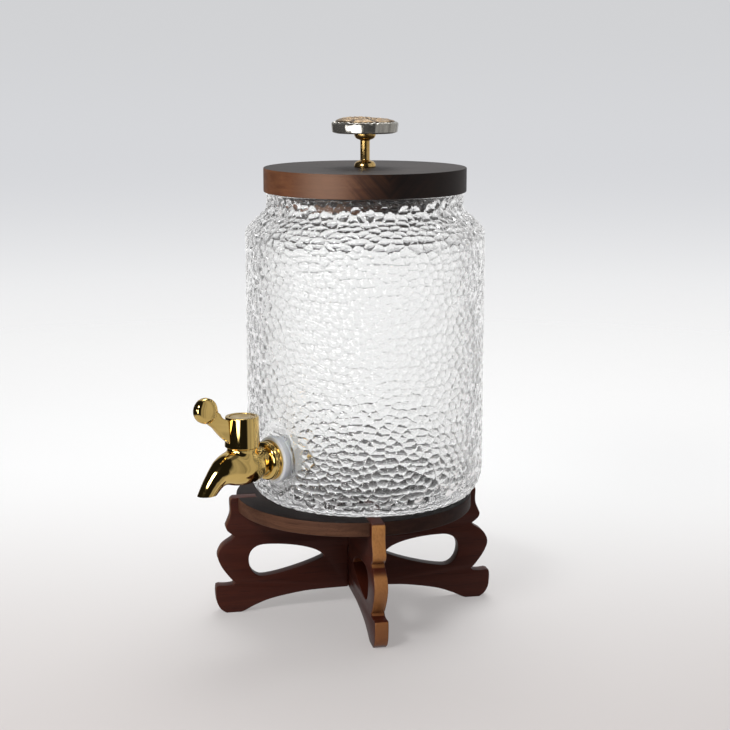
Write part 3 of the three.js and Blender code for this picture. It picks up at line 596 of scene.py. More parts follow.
def plate_wood(name):
    """The same stain as the legs: nearly black on top, partly painted shade of the jar, browner round the
    rim, with painted shade towards the right.
    """
    made, tree = new_material(name)
    face, height = grain_colours(local_place(tree, PLATE_GRAIN_TURN), *PLATE_TOP_STAIN_AND_SHADE)
    rim, _ = grain_colours(local_place(tree, PLATE_GRAIN_TURN, (1, 1, 2.5)), *PLATE_SIDE)
    share = ranged(radial_share(tree, STAND_AXIS), 0.4, 0.8)
    # Painted shade: the plate darkens towards the right.
    colour = painted_right_shade(tree, mixed(share, face, rim), STAND_AXIS, PLATE_RIGHT_SHADE, 0.22)
    return wooden(made, colour, height, 0.55, 0.1)


def relief_metal(name):
    """Antique gold: bright on what stands out and brown in the hollows of its crumbs, with painted shade in
    the petal valleys and the groove round the heart.
    """
    made, tree = new_material(name)
    where = local_place(tree)
    crumb = noise_of(where, 420, 5.0, 0.65)
    patch = noise_of(where, 130)
    shade = mixed(ranged(crumb, 0.38, 0.62), (0.10, 0.062, 0.034), (0.33, 0.225, 0.125))
    shade = mixed(ranged(patch, 0.45, 0.7, 0.0, 0.6), shade, (0.46, 0.345, 0.21))
    away = from_axis(tree, JAR_AXIS)
    radius = vectored("LENGTH", away)
    x, y, _ = parts_of(away)
    wave = mathed("COSINE", times(mathed("ARCTAN2", y, x), PETALS / 2))
    # Painted shade in the petal valleys and the groove round the heart.
    valley = ranged(size_of(wave), 0.1, 0.55, 0.8, 0.0)
    valley_shade = times(valley, ranged(radius, 0.007, 0.009))
    ring = ranged(size_of(radius, 0.0069), 0.0006, 0.0016, 0.8, 0.0)
    shade = mixed(mathed("MAXIMUM", valley_shade, ring), shade, (0.035, 0.02, 0.011))
    roughness = ranged(patch, 0.3, 0.7, 0.45, 0.28)
    return coated(made, shade, roughness, bumped(crumb, 0.8, 0.0006), {"Metallic": 0.9})


gold = metal("polished_gold", (0.75, 0.525, 0.185), 0.06, (0.67, 0.46, 0.15))
nickel = metal("soft_nickel", (0.50, 0.475, 0.43), 0.13, (0.40, 0.38, 0.335), 0.3, 420, 0.12, 0.84)
stem_gold = metal("satin_gold", (0.78, 0.53, 0.205), 0.2, (0.68, 0.44, 0.15))
relief_gold = relief_metal("antique_gold")
steel = metal("zinc_plate", (0.55, 0.56, 0.57), 0.3, (0.45, 0.46, 0.48))
silicone = moulded("white_silicone", (0.80, 0.82, 0.85), 0.45, 0.5)
seal_silicone = moulded("smoked_silicone", (0.06, 0.038, 0.028), 0.5)
white_plastic = moulded("white_plastic", (0.86, 0.86, 0.84), 0.4, 0.2)
black_rubber = moulded("black_rubber", (0.02, 0.02, 0.02), 0.6)
clear_glass = glass_material("hammered_glass")
walnut = lid_wood("dark_walnut")


# The glass jar

JAR_RADIUS = 82.6
HEEL_WIDE, HEEL_TALL = 15, 22
HEEL_TOP = JAR_FOOT + HEEL_TALL
SHOULDER_Z = JAR_FOOT + 183.3
SHOULDER_ROUND = 9
SHOULDER_TILT = 48
SHOULDER_INSIDE = 18
NECK_RADIUS = 67.8
NECK_FILLET = 6
WALL = 4.5
RIM_ROUND = 1.4
FLOOR_TOP = JAR_FOOT + 7
FOOT_HOLLOW = JAR_FOOT + 2
FILLET_AT = (NECK_RADIUS + NECK_FILLET, RIM_TOP - 8.75)
PAD_REACH = 79.3
PAD_RADIUS = 20
INNER_PAD = 15.7
TAP_HOLE = 8.4
JAR_SIDES = 640
RING_STEP = 0.85
CELL_WIDE = 6.6
CELL_TALL = 4.75
CELL_SQUEEZE = 1.25
CELL_DEPTH = 0.66
CELL_REACH = 3.2
CELL_DOME = 0.62
CELL_STRAY_ROUND, CELL_STRAY_UP = 0.34, 0.4 * CELL_TALL
CELL_MISSING = 0.03
CELL_STEEPEST = 1.1
TURNS = np.linspace(0, 2 * pi, JAR_SIDES, endpoint=False)


def way_along(line):
    return np.concatenate([[0], np.cumsum(np.linalg.norm(np.diff(line, axis=0), axis=1))])


def evenly(points, step):
    """The same line with points a step apart."""
    line = np.array(points, float)
    along = way_along(line)
    at = np.linspace(0, along[-1], max(2, int(round(along[-1] / step)) + 1))
    return np.stack([np.interp(at, along, line[:, i]) for i in (0, 1)], axis=1)


def outward(line):
    """Unit normals of a line in the turning plane."""
    run = np.gradient(line, axis=0)
    run /= np.linalg.norm(run, axis=1)[:, None]
    return np.stack([run[:, 1], -run[:, 0]], axis=1)


def jar_outer_line():
    """From the edge of the foot up to the top of the neck."""
    shoulder = (JAR_RADIUS - 2 * SHOULDER_ROUND, SHOULDER_Z)
    return (
        arc((JAR_RADIUS - HEEL_WIDE, HEEL_TOP), (HEEL_WIDE, HEEL_TALL), -90, 0, 24)
        + arc((shoulder[0] + SHOULDER_ROUND, SHOULDER_Z), (SHOULDER_ROUND,) * 2, 0, SHOULDER_TILT, 12)
        + arc(FILLET_AT, (NECK_FILLET,) * 2, 180 + SHOULDER_TILT, 180, 8)
        + [(NECK_RADIUS, RIM_TOP - RIM_ROUND)]
    )


def jar_inner_line():
    """From the top of the neck down to the edge of the floor, with a fuller round in the shoulder."""
    tilt = radians(SHOULDER_TILT)
    drop = (SHOULDER_INSIDE - SHOULDER_ROUND + WALL) * (1 - cos(tilt)) / sin(tilt)
    shoulder = (JAR_RADIUS - WALL - SHOULDER_INSIDE, SHOULDER_Z - drop)
    heel = (HEEL_WIDE - WALL, HEEL_TOP - FLOOR_TOP)
    return (
        [(NECK_RADIUS - WALL, RIM_TOP - RIM_ROUND)]
        + arc(FILLET_AT, (NECK_FILLET + WALL,) * 2, 180, 180 + SHOULDER_TILT, 8)
        + arc(shoulder, (SHOULDER_INSIDE,) * 2, SHOULDER_TILT, 0, 8)
        + arc((JAR_RADIUS - HEEL_WIDE, HEEL_TOP), heel, 0, -90, 12)
    )


# The outer wall: its line, how far along it each point of the line lies, and its normals
LINE = evenly(jar_outer_line(), RING_STEP)
ALONG = way_along(LINE)
NORMALS = outward(LINE)


def at_way(way, table):
    """The two columns of a table about the wall's line, at ways along it."""
    return [np.interp(way, ALONG, column) for column in table.T]


def unrolled(turn, radius, way):
    """Places in the measure that cells are grown in."""
    return np.stack([radius * np.cos(turn), radius * np.sin(turn), way * CELL_SQUEEZE], axis=-1)


def cell_seeds():
    """The middles of the hammered cells, in rows that the draw disturbs."""
    draw = random.Random(11)
    seeds = []
    for row, at in enumerate(np.arange(0, ALONG[-1] + CELL_TALL, CELL_TALL)):
        radius, _ = at_way(at, LINE)
        count = int(round(2 * pi * radius / CELL_WIDE))
        for i in range(count):
            stray = draw.uniform(-CELL_STRAY_ROUND, CELL_STRAY_ROUND)
            turn = (i + 0.5 * (row % 2) + stray) / count * 2 * pi
            up = at + draw.uniform(-CELL_STRAY_UP, CELL_STRAY_UP)
            if draw.random() > CELL_MISSING:
                seeds.append(unrolled(turn, radius, up))
    return np.array(seeds)


SEEDS = cell_seeds()
SEED_TREE = kdtree.KDTree(len(SEEDS))
for index, seed in enumerate(SEEDS):
    SEED_TREE.insert(seed, index)
SEED_TREE.balance()


def cell_spread(far):
    """What the square of the way from a cell's middle is divided by, and how fast that grows with far."""
    wide = np.maximum(far, CELL_REACH)
    grows = np.where(far > CELL_REACH, 2 * far, CELL_REACH)
    return CELL_DOME * CELL_REACH**2 + (1 - CELL_DOME) * far * wide, (1 - CELL_DOME) * grows


def cell_share(along, gap):
    """How much of the hammering is left: none at the foot, the rim and the tap, most near heel and neck."""
    end = ALONG[-1]
    foot = ease(along, 0, 2.5) * (1 + 0.45 * (1 - ease(along, 28, 62)))
    neck = 1 + 0.3 * ease(along, end - 38, end - 26) + 1.1 * ease(along, end - 20, end - 8)
    return foot * (neck - 2.3 * ease(along, end - 1.2, end)) * ease(gap, 17.5, 25)


def cell_depth(radius, way):
    """How deep a ring of the wall lies under its crests: domes with steep edges."""
    depth = []
    for where in unrolled(TURNS, radius, np.full(JAR_SIDES, way)):
        (_, _, near), (_, _, far) = SEED_TREE.find_n(where, 2)
        depth.append(CELL_DEPTH * near * near / cell_spread(far)[0])
    return np.array(depth)


def tap_gap(turns, radius, height):
    """Distance from the tap's axis, for places on the tap's side of the jar."""
    gap = np.hypot(radius * np.sin(turns), height - TAP_Z)
    return np.where(np.cos(turns) > 0, gap, 99.0)


def wall_rings():
    """The hammered outer wall, with a smooth flat where the tap seats."""
    rings = []
    for (radius, height), (level, rise), way in zip(LINE, NORMALS, ALONG):
        gap = tap_gap(TURNS, radius, height)
        sunk = cell_depth(radius, way) * cell_share(way, gap)
        out, up = radius - level * sunk, height - rise * sunk
        flat = PAD_REACH + 0.03 * np.maximum(gap - PAD_RADIUS + 2, 0) ** 2
        pressed = np.where(gap < PAD_RADIUS + 10, np.minimum(flat - radius * np.cos(TURNS), 0), 0)
        reach = out * np.cos(TURNS) + pressed
        rings.append(np.stack([JAR_X + out * np.sin(TURNS), JAR_Y - reach, up], axis=1))
    return rings


def plain_rings(line, wave=0.0):
    rings = []
    for radius, height in line:
        out = radius + wave * np.sin(7 * TURNS + height * 0.31) * np.sin(height * 0.21 + 3 * TURNS)
        x, y = JAR_X + out * np.sin(TURNS), JAR_Y - out * np.cos(TURNS)
        rings.append(np.stack([x, y, 0 * TURNS + height], axis=1))
    return rings


def inner_rings():
    """The inner wall, with its own flat behind the tap."""
    rings = plain_rings(evenly(jar_inner_line(), 5.5), 0.1)
    for ring in rings:
        across, reach, up = ring[:, 0] - JAR_X, JAR_Y - ring[:, 1], ring[:, 2] - TAP_Z
        gap = np.hypot(across, up)
        flat = PAD_REACH - 4.3 + 0.4 * np.maximum(gap - INNER_PAD, 0)
        near = (reach > 0) & (gap < INNER_PAD + 10)
        ring[:, 1] = np.where(near, JAR_Y - np.minimum(reach, flat), ring[:, 1])
    return rings


def rim_line():
    """Over the rounded rim, from outside to inside."""
    radius, low = NECK_RADIUS - RIM_ROUND, RIM_TOP - RIM_ROUND
    outer = [(radius + RIM_ROUND * cos(t), low + RIM_ROUND * sin(t)) for t in (0.5, 1.0, 1.57)]
    return outer + [(2 * NECK_RADIUS - WALL - r, height) for r, height in outer[::-1]]


def on_wall(points):
    """For places in the jar's frame: turn, way along the outer wall, and depth under it."""
    flat = np.stack([np.hypot(points[:, 0], points[:, 1]), points[:, 2]], axis=1)
    nearest = np.empty(len(flat), int)
    lot = 20000
    for start in range(0, len(flat), lot):
        away = flat[start : start + lot, None] - LINE[None]
        nearest[start : start + lot] = (away**2).sum(2).argmin(1)
    normal = NORMALS[nearest]
    offset = flat - LINE[nearest]
    run = np.stack([-normal[:, 1], normal[:, 0]], axis=1)
    way = ALONG[nearest] + (offset * run).sum(1)
    return np.arctan2(points[:, 0], points[:, 1]), way, -(offset * normal).sum(1)


def gathered(collection, key, width, kind=float):
    """One property of a mesh's points, faces or corners."""
    flat = np.empty(len(collection) * width, kind)
    collection.foreach_get(key, flat)
    return flat.reshape(-1, width) if width > 1 else flat


def in_jar_frame(collection, key):
    """Places in millimetres from the jar's axis, with the tap ahead."""
    x, y, z = gathered(collection, key, 3).T / MM
    return np.stack([x - JAR_X, JAR_Y - y, z], axis=1)


def cell_slope(where, own, near):
    """Slope of the depth under the crests, for places that belong to the cell called own."""
    first = where - SEEDS[own]
    second = where - SEEDS[np.where(near[:, 0] == own, near[:, 1], near[:, 0])]
    far = np.maximum(np.linalg.norm(second, axis=1), 0.5)
    spread, grows = cell_spread(far)
    back = (first**2).sum(1) * grows / (spread * far)
    return (CELL_DEPTH / spread)[:, None] * (2 * first - back[:, None] * second)


def crisp_cells(jar):
    """Gives each cell of the wall its own rounded shading, so that the grooves between them stay sharp."""
    mesh = jar.data
    corner = gathered(mesh.loops, "vertex_index", 1, int)
    facing = gathered(mesh.corner_normals, "vector", 3)
    sizes = gathered(mesh.polygons, "loop_total", 1, int)
    turn, way, _ = on_wall(in_jar_frame(mesh.polygons, "center"))
    middles = unrolled(turn, at_way(way, LINE)[0], way)
    own = np.repeat([SEED_TREE.find(p)[1] for p in middles], sizes)
    turn, way, depth = on_wall(in_jar_frame(mesh.vertices, "co"))
    radius, height = at_way(way, LINE)
    where = unrolled(turn, radius, way)
    near = np.array([[i for _, i, _ in SEED_TREE.find_n(p, 2)] for p in where])
    turn, way, depth, radius, height = (v[corner] for v in (turn, way, depth, radius, height))
    out, up = at_way(way, NORMALS)
    gap = tap_gap(turn, radius, height)
    slope = cell_slope(where[corner], own, near[corner]) * cell_share(way, gap)[:, None]
    slope /= np.maximum(np.linalg.norm(slope, axis=1) / CELL_STEEPEST, 1)[:, None]
    inward = slope[:, 0] * np.cos(turn) + slope[:, 1] * np.sin(turn)
    round_slope = slope[:, 1] * np.cos(turn) - slope[:, 0] * np.sin(turn)
    rise_slope = CELL_SQUEEZE * slope[:, 2] - up * inward
    radial = out - rise_slope * up
    x = radial * np.sin(turn) + round_slope * np.cos(turn)
    y = round_slope * np.sin(turn) - radial * np.cos(turn)
    made = np.stack([x, y, up + rise_slope * out], axis=1)
    made /= np.linalg.norm(made, axis=1)[:, None]
    on_skin = (depth > -0.5) & (depth < 1.7) & (way < ALONG[-1] - 0.5)
    outer = on_skin & ((made * facing).sum(1) > 0.2)
    blend = (ease(gap, 22, 29) * np.where(outer, 1, 0))[:, None]
    made = made * blend + facing * (1 - blend)
    mesh.normals_split_custom_set(made / np.linalg.norm(made, axis=1)[:, None])


def glass_jar():
    foot = [(52.5, JAR_FOOT + 1.6), (55, JAR_FOOT), (61, JAR_FOOT)]
    rings = plain_rings([(r, FOOT_HOLLOW) for r in (18, 36, 50)] + foot) + wall_rings()
    rings += plain_rings(rim_line()) + inner_rings() + plain_rings([(r, FLOOR_TOP) for r in (58, 40, 20)])
    points = [(*JAR_AXIS, FOOT_HOLLOW)] + [p for ring in rings for p in ring] + [(*JAR_AXIS, FLOOR_TOP)]
    faces = []
    last = 1 + (len(rings) - 1) * JAR_SIDES
    for s in range(JAR_SIDES):
        n = (s + 1) % JAR_SIDES
        faces += [(0, 1 + s, 1 + n), (last + s, len(points) - 1, last + n)]
        for low in range(1, last, JAR_SIDES):
            high = low + JAR_SIDES
            faces.append((low + s, high + s, high + n, low + n))
    jar = solid("hammered_jar", points, faces)
    combine(jar, turned_along_tap("hole", rod(TAP_HOLE, 60, 92), 64), smooth=50)
    crisp_cells(jar)
    place(jar, "jar", clear_glass, "glass_jar")


# The tap

FLANGE_BACK = PAD_REACH + 4.8
BARREL_RISE, BARREL_DROP = 13, 6
BARREL_TOP = TAP_Z + BARREL_RISE
BELLY, BELLY_DROP = (12.1, 22.0, 12.1), 0.9
SPOUT_ROOT, SPOUT_TIP = 9.0, 5.3
SPOUT_SHARES = [1, 1, 1, 0.97, 0.9, 0.66, 0.42, 0.26, 0.12, 0.02]
SPOUT_MOUTH = (29.85, -15.3)
SPOUT_BEND = 19
SPOUT_RISE = 3.6
BORE_RADIUS = 6.8
FEED_RADIUS = 4


def spout_line(rise, count):
    """Centres (reach, height) from the barrel's axis to past the mouth, and how wide the spout is there."""
    start, bend = np.array([0.0, rise]), np.array([SPOUT_BEND, rise])
    mouth = np.array(SPOUT_MOUTH)
    end = mouth + (mouth - bend) / np.linalg.norm(mouth - bend) * 4
    shares = np.linspace(0, 1, count)
    line = [(1 - t) ** 2 * start + 2 * t * (1 - t) * bend + t * t * end for t in shares]
    return np.array(line), np.interp(shares, np.linspace(0, 1, len(SPOUT_SHARES)), SPOUT_SHARES)


def spout_skin(count):
    """Centres and radii of the spout's outside."""
    line, wide = spout_line(SPOUT_RISE, count)
    return line, wide * (SPOUT_ROOT - SPOUT_TIP) + SPOUT_TIP


def tap_field(points):
    """Negative inside the tap's belly, barrel and spout, and zero on their skin."""
    x, y, z = points.T - np.array([[JAR_X], [0], [TAP_Z]])
    reach = (JAR_Y - y) - BARREL_REACH
    radii = np.array(BELLY)
    belly_at = np.stack([x, reach, z + BELLY_DROP], axis=1)
    scaled = np.linalg.norm(belly_at / radii, axis=1)
    belly = scaled * (scaled - 1) / np.maximum(np.linalg.norm(belly_at / radii**2, axis=1), 1e-6)
    bore = 9.5 + 0.7 * ease(z, 6.5, BARREL_RISE)
    barrel = np.maximum(np.hypot(x, reach) - bore, np.maximum(z - BARREL_RISE, -z - BARREL_DROP))
    line, width = spout_skin(60)
    spout = np.full(len(points), 1e9)
    for a, b, wa, wb in zip(line, line[1:], width, width[1:]):
        run = b - a
        share = np.clip(((reach - a[0]) * run[0] + (z - a[1]) * run[1]) / (run @ run), 0, 1)
        gap = np.sqrt(x**2 + (reach - a[0] - share * run[0]) ** 2 + (z - a[1] - share * run[1]) ** 2)
        spout = np.minimum(spout, gap - (wa + share * (wb - wa)))
    return blended(blended(belly, spout, 3.0), barrel, 2.0)


def tap_front():
    """The belly, barrel and spout as one smooth casting."""
    foot = TAP_Z - BARREL_DROP
    belly = ball("belly", (*BARREL, TAP_Z - BELLY_DROP), BELLY)
    barrel = turned("barrel", [(0, foot), (9.7, foot), (9.9, BARREL_TOP), (0, BARREL_TOP)], BARREL, 64)
    line, width = spout_skin(40)
    spout = tube("spout", line + (BARREL_REACH, TAP_Z), width)
    return settled(voxel_joined("tap_front", [belly, barrel, spout], 0.5), tap_field)


def tap_back():
    """Shank, stepped flange and short neck, turned about the tap's axis."""
    f = FLANGE_BACK
    outline = [
        (0, f - 24), (7.8, f - 24, 0.5), (7.8, f), (13.6, f, 0.3), (13.6, f + 1.6, 0.45),
        (12.8, f + 1.6, 0.1), (12.8, f + 2.4, 0.15), (13.2, f + 2.4, 0.3), (13.2, f + 4.4, 0.3),
    ]
    front = BARREL_REACH - 4
    outline += arc((10.4, f + 4.6), (2.6, 2.5), 0, 90, 8) + [(10.4, front), (0, front)]
    back = turned_along_tap("tap_back", rounded(outline))
    near, far, tall = 8.7, 18, 18
    for x in ((JAR_X - far, JAR_X - near), (JAR_X + near, JAR_X + far)):
        low = (x[0], BARREL[1] + 2, TAP_Z - tall)
        combine(back, block("flat", low, (x[1], JAR_Y - (f + 7.2), TAP_Z + tall)))
    return back


def tap_body():
    f = FLANGE_BACK
    body = combine(tap_front(), turned_along_tap("behind", rod(18, f - 30, f + 6)))
    combine(body, tap_back(), "UNION")
    mouth = TAP_Z + SPOUT_MOUTH[1]
    low, high = (JAR_X - 20, BARREL[1] - 50, mouth - 20), (JAR_X + 20, BARREL[1] - 12, mouth)
    combine(body, block("below", low, high))
    line, wide = spout_line(0, 40)
    combine(body, tube("channel", line + (BARREL_REACH, TAP_Z), 4.1 - 0.6 * wide, 48))
    combine(body, turned_along_tap("feed", rod(FEED_RADIUS, 50, BARREL_REACH), 48))
    bored(body, BORE_RADIUS, TAP_Z - 8.2, BARREL_TOP + 2, BARREL, 64)
    body.name = "gold_tap"
    place(body, "jar", gold, "tap_body")


def flange_washer():
    low, high, hole, radius = PAD_REACH + SEATED, FLANGE_BACK - SEATED, 7.95, 15.8
    outline = [(hole, low), (radius, low, 1.2), (radius, high, 1.2), (hole, high), (hole, low)]
    washer = turned_along_tap("flange_washer", rounded(outline, 6), weld=True)
    place(washer, "jar", silicone, "outer_washer")


# The tap's handle

HANDLE_TOP = HANDLE_FOOT + 20.4
WEB_TOP = [(10.4, 19.0), (13.5, 19.9), (16.5, 21.7), (19.4, 25.5), (25.3, 29.0)]
WEB_UNDER = [(29.4, 21.6), (27.5, 18.6), (23.7, 15.4), (19.9, 11.0), (16.1, 7.2), (12.2, 4.2), (10.7, 2.65)]
WEB_HALF, WEB_BEVEL = 1.9, 0.7
BALL_AT = (29.4, 28.0)
BALL_HALF, BALL_RADIUS, BALL_FULLNESS = 4.3, 8.5, 3.2
COLLAR_LEAN = radians(55)
COLLAR_BACK = 6.6
POCKET_RADIUS = 8.55


def handle_place(reach, height, across):
    return (BARREL[0] + across, BARREL[1] - reach, HANDLE_FOOT + height)


def handle_web(outline):
    """The flat web of the handle from its closed outline, with its edges rounded."""
    line = np.array(outline, float)
    ahead = np.roll(line, -1, 0)
    run = ahead - np.roll(line, 1, 0)
    run /= np.maximum(np.linalg.norm(run, axis=1), 1e-9)[:, None]
    area = np.sum(line[:, 0] * ahead[:, 1] - ahead[:, 0] * line[:, 1])
    inward = np.stack([-run[:, 1], run[:, 0]], axis=1) * np.sign(area)
    layers = []
    for t in np.linspace(0, pi / 2, 4):
        layers.append((WEB_BEVEL * (1 - sin(t)), WEB_HALF - WEB_BEVEL * (1 - cos(t))))
    layers = [(inset, -depth) for inset, depth in layers] + layers[::-1]
    points = [handle_place(u, v, depth) for inset, depth in layers for u, v in line + inward * inset]
    return solid("web", points, stacked_faces(len(layers), len(line)), 40)


def handle_collar(at):
    """The raised ring where the web meets the ball."""
    points, faces = turned_points(rounded([(0, -0.8), (5.5, -0.8, 0.4), (5.5, 0.8, 0.4), (0, 0.8)]), 64)
    lean = Matrix.Rotation(COLLAR_LEAN, 3, "X")
    back = Vector((0, sin(COLLAR_LEAN), -cos(COLLAR_LEAN))) * COLLAR_BACK
    placed = [lean @ Vector(p) for p in points]
    placed = [(v.x * 12 / 17.4 + at[0], v.y + back.y + at[1], v.z + back.z + at[2]) for v in placed]
    return solid("collar", placed, faces)


def tap_handle():
    f, t = HANDLE_FOOT, HANDLE_TOP
    outline = [(0, f), (11.7, f, 0.35), (11.1, t, 0.8), (POCKET_RADIUS, t, 0.4), (POCKET_RADIUS, t - 2)]
    hub = turned("gold_handle", rounded([*outline, (0, t - 2)], 5), BARREL)
    web = handle_web([(5.5, 2.65), (5.5, 19.0)] + spline(WEB_TOP, 8) + spline(WEB_UNDER, 8))
    at = handle_place(*BALL_AT, 0)
    end = ball("ball", at, (BALL_HALF, BALL_RADIUS, BALL_RADIUS), BALL_FULLNESS, (2, 0, 1))
    for part in (web, end, handle_collar(at)):
        combine(hub, part, "UNION")
    bored(hub, POCKET_RADIUS, t - 2.6, t + 3, BARREL, 96)
    bored(hub, 4.65, f - 2, f + 9.2, BARREL, 48)
    bored(hub, 3.85, f + 9, t + 1, BARREL, 48)
    place(hub, "tap_lever", gold, "tap_handle")


def handle_cap():
    foot = HANDLE_TOP - 1.95
    dish = [(8.0, foot + 1.5), (6.9, foot + 1.62), (4.6, foot + 1.5), (2.2, foot + 1.28), (0, foot + 1.2)]
    edge = [(0, foot - 3), (3.6, foot - 3), (3.6, foot), (8.3, foot), (8.3, foot + 1.2)]
    cap = turned("cover_button", rounded(edge) + spline(dish, 5), BARREL, 96)
    place(cap, "tap_lever", gold, "handle_cap")


# The lid and its knob

LID_RADIUS = 69.5
PLUG_RADIUS = 61
LID_UNDER = RIM_TOP + SEATED
GROOVE_DEEP, GROOVE_TALL = 2.2, 3.2
KNOB_EDGE = 20.6
RELIEF_RADIUS = 20.3
RELIEF_SIDES, RELIEF_RINGS = 192, 44


def lid_board():
    top, inner = LID_UNDER - 2.4, PLUG_RADIUS - GROOVE_DEEP
    outline = [
        (0, LID_FOOT), (PLUG_RADIUS, LID_FOOT, 1.2), (PLUG_RADIUS, top - GROOVE_TALL, 0.2),
        (inner, top - GROOVE_TALL), (inner, top), (PLUG_RADIUS, top, 0.2), (PLUG_RADIUS, LID_UNDER),
        (LID_RADIUS, LID_UNDER, 0.8), (LID_RADIUS, LID_TOP, 0.6), (0, LID_TOP),
    ]
    board = turned("walnut_lid", rounded(outline, 5), JAR_AXIS, 256)
    bored(board, 2.4, LID_FOOT - 2, LID_TOP + 2, JAR_AXIS, 32)
    bored(board, 6.6, LID_FOOT - 2, LID_FOOT + 4.4, JAR_AXIS, 48)
    place(board, "lid", walnut, "lid_board")


def knob_stem():
    foot, top, radius = LID_TOP + SEATED, KNOB_UNDER - SEATED, 7.4
    flare_at, flare, lip = 3.75, (3.6, 3.55), 0.8
    outline = (
        [(0, foot), (radius, foot, 0.2), (radius, foot + lip)]
        + arc((flare_at, foot + lip), flare, 5, 82, 10)
        + [(3.25, foot + 4.9, 0.5), (3.25, top - 4.9, 0.5)]
        + arc((flare_at, top - lip), flare, -82, -5, 10)
        + [(radius, top - lip), (radius, top, 0.2), (2.4, top), (2.4, top + 2.6), (0, top + 2.6)]
    )
    stem = turned("gold_stem", rounded(outline), JAR_AXIS, 96)
    bored(stem, 2.15, foot - 1, foot + 11, JAR_AXIS, 32, 35)
    place(stem, "lid", stem_gold, "knob_stem")


def knob_head():
    """A thick disc whose cast edge strays a little from a true circle."""
    u, t = KNOB_UNDER, KNOB_TOP
    outline = [
        (0, u), (KNOB_EDGE, u, 1.0), (22.3, u + 0.7, 0.6), (22.9, t - 1.2, 0.8), (21.9, t - 0.1, 0.7),
        (KNOB_EDGE, t, 0.3), (KNOB_EDGE, t - 0.8), (0, t - 0.8),
    ]
    points, faces = turned_points(rounded(outline, 5), 192)
    for p in points:
        if hypot(p[0], p[1]) > KNOB_EDGE + 0.02:
            turn = atan2(p[1], p[0])
            rough = 0.16 * noise.noise(Vector((p[0] * 0.5, p[1] * 0.5, p[2] * 0.16)))
            if p[2] > t - 2:
                p[2] += 0.75 * noise.noise(Vector((p[0] * 0.42, p[1] * 0.42, 7.0))) - 0.1
            wander = 0.006 * (sin(5 * turn + 0.6) + 0.6 * cos(9 * turn))
            p[:2] *= 1 + wander + rough / 22
    head = solid("nickel_knob", points + (*JAR_AXIS, 0), faces)
    bored(head, 2.65, u - 1, u + 2.8, JAR_AXIS, 32, 35)
    place(head, "lid", nickel, "knob_head")


def knob_relief():
    """A generic rosette of petals round a raised heart, rough cast."""
    foot, rise = KNOB_TOP - 0.75, RELIEF_TOP - KNOB_TOP - 0.15
    skin = foot + 0.8
    outline = [(0, foot), (RELIEF_RADIUS, foot)]
    outline += [(RELIEF_RADIUS * (1 - k / RELIEF_RINGS), skin) for k in range(RELIEF_RINGS + 1)]
    points, faces = turned_points(outline, RELIEF_SIDES)
    high_side = atan2(-RIGHT[1], -RIGHT[0])
    for p in points[RELIEF_SIDES + 1 :]:
        out = hypot(p[0], p[1]) / RELIEF_RADIUS
        turn = atan2(p[1], p[0])
        petal = 1 - abs(cos(PETALS / 2 * turn))
        swell = sqrt(max(0, 1 - out * out)) * (1 - 0.42 * petal * sin(pi * out))
        swell -= 0.24 * exp(-(((out - 0.34) / 0.06) ** 2))
        lean = 0.86 + 0.13 * cos(turn - high_side) * min(1, out * 2)
        crumb = noise.fractal(Vector((p[0] * 0.42, p[1] * 0.42, 0.3)), 0.7, 2.1, 4)
        p[2] = skin + rise * max(0, swell * lean) * 0.97 + 0.38 * crumb * min(1, (1 - out) * 6)
        p[2] = min(p[2], RELIEF_TOP - 0.02)
    relief = solid("gold_rosette", points + (*JAR_AXIS, 0), faces, 180)
    place(relief, "lid", relief_gold, "knob_relief")


# The stand

PLATE_RADIUS = 83.1
SCROLL_REACH = 16.36
BOARD_HALF, BOARD_BEVEL = 4.7, 0.7
GAP = 0.25
SLOT_DEPTH = 13.1
FIRST_TURN = radians(-30)
FOOT_INNER = 82.0
ARCH_HEIGHT = 13.9
# The scroll, in shares of its reach past the plate and of the stand's height
BROW = [(0.325, 0.86), (0.46, 0.787), (0.53, 0.75), (0.45, 0.711), (0.17, 0.667)]
CHEEK = [(0.28, 0.645), (0.7, 0.587), (0.9, 0.5), (0.74, 0.405), (0.4, 0.31), (0.17, 0.262)]
TOE_TOP = [(0.27, 0.243), (0.55, 0.238), (0.86, 0.243)]
TOE_FRONT = [(0.97, 0.236), (1.0, 0.205), (0.995, 0.15), (0.95, 0.09), (0.8, 0.035), (0.56, 0.0)]
# The arch, in shares of the foot's inner end and of the arch's height
ARCH = [(0.96, 0.08), (0.87, 0.34), (0.72, 0.64), (0.472, 0.892), (0.293, 0.964)]
# The teardrop window as four curves, in shares of its length and height
WINDOW = [
    ((0, 0.515), (0.056, 0.815), (0.444, 1), (0.778, 1)),
    ((0.778, 1), (0.917, 1), (1, 0.815), (1, 0.545)),
    ((1, 0.545), (1, 0.258), (0.926, 0), (0.815, 0)),
    ((0.815, 0), (0.667, 0), (0.222, 0.258), (0, 0.515)),
]
WINDOW_AT, WINDOW_SIZE = (22, 25.5), (54, 23.3)


def scroll(points):
    return [(PLATE_RADIUS + SCROLL_REACH * u, STAND_TOP * v) for u, v in points]


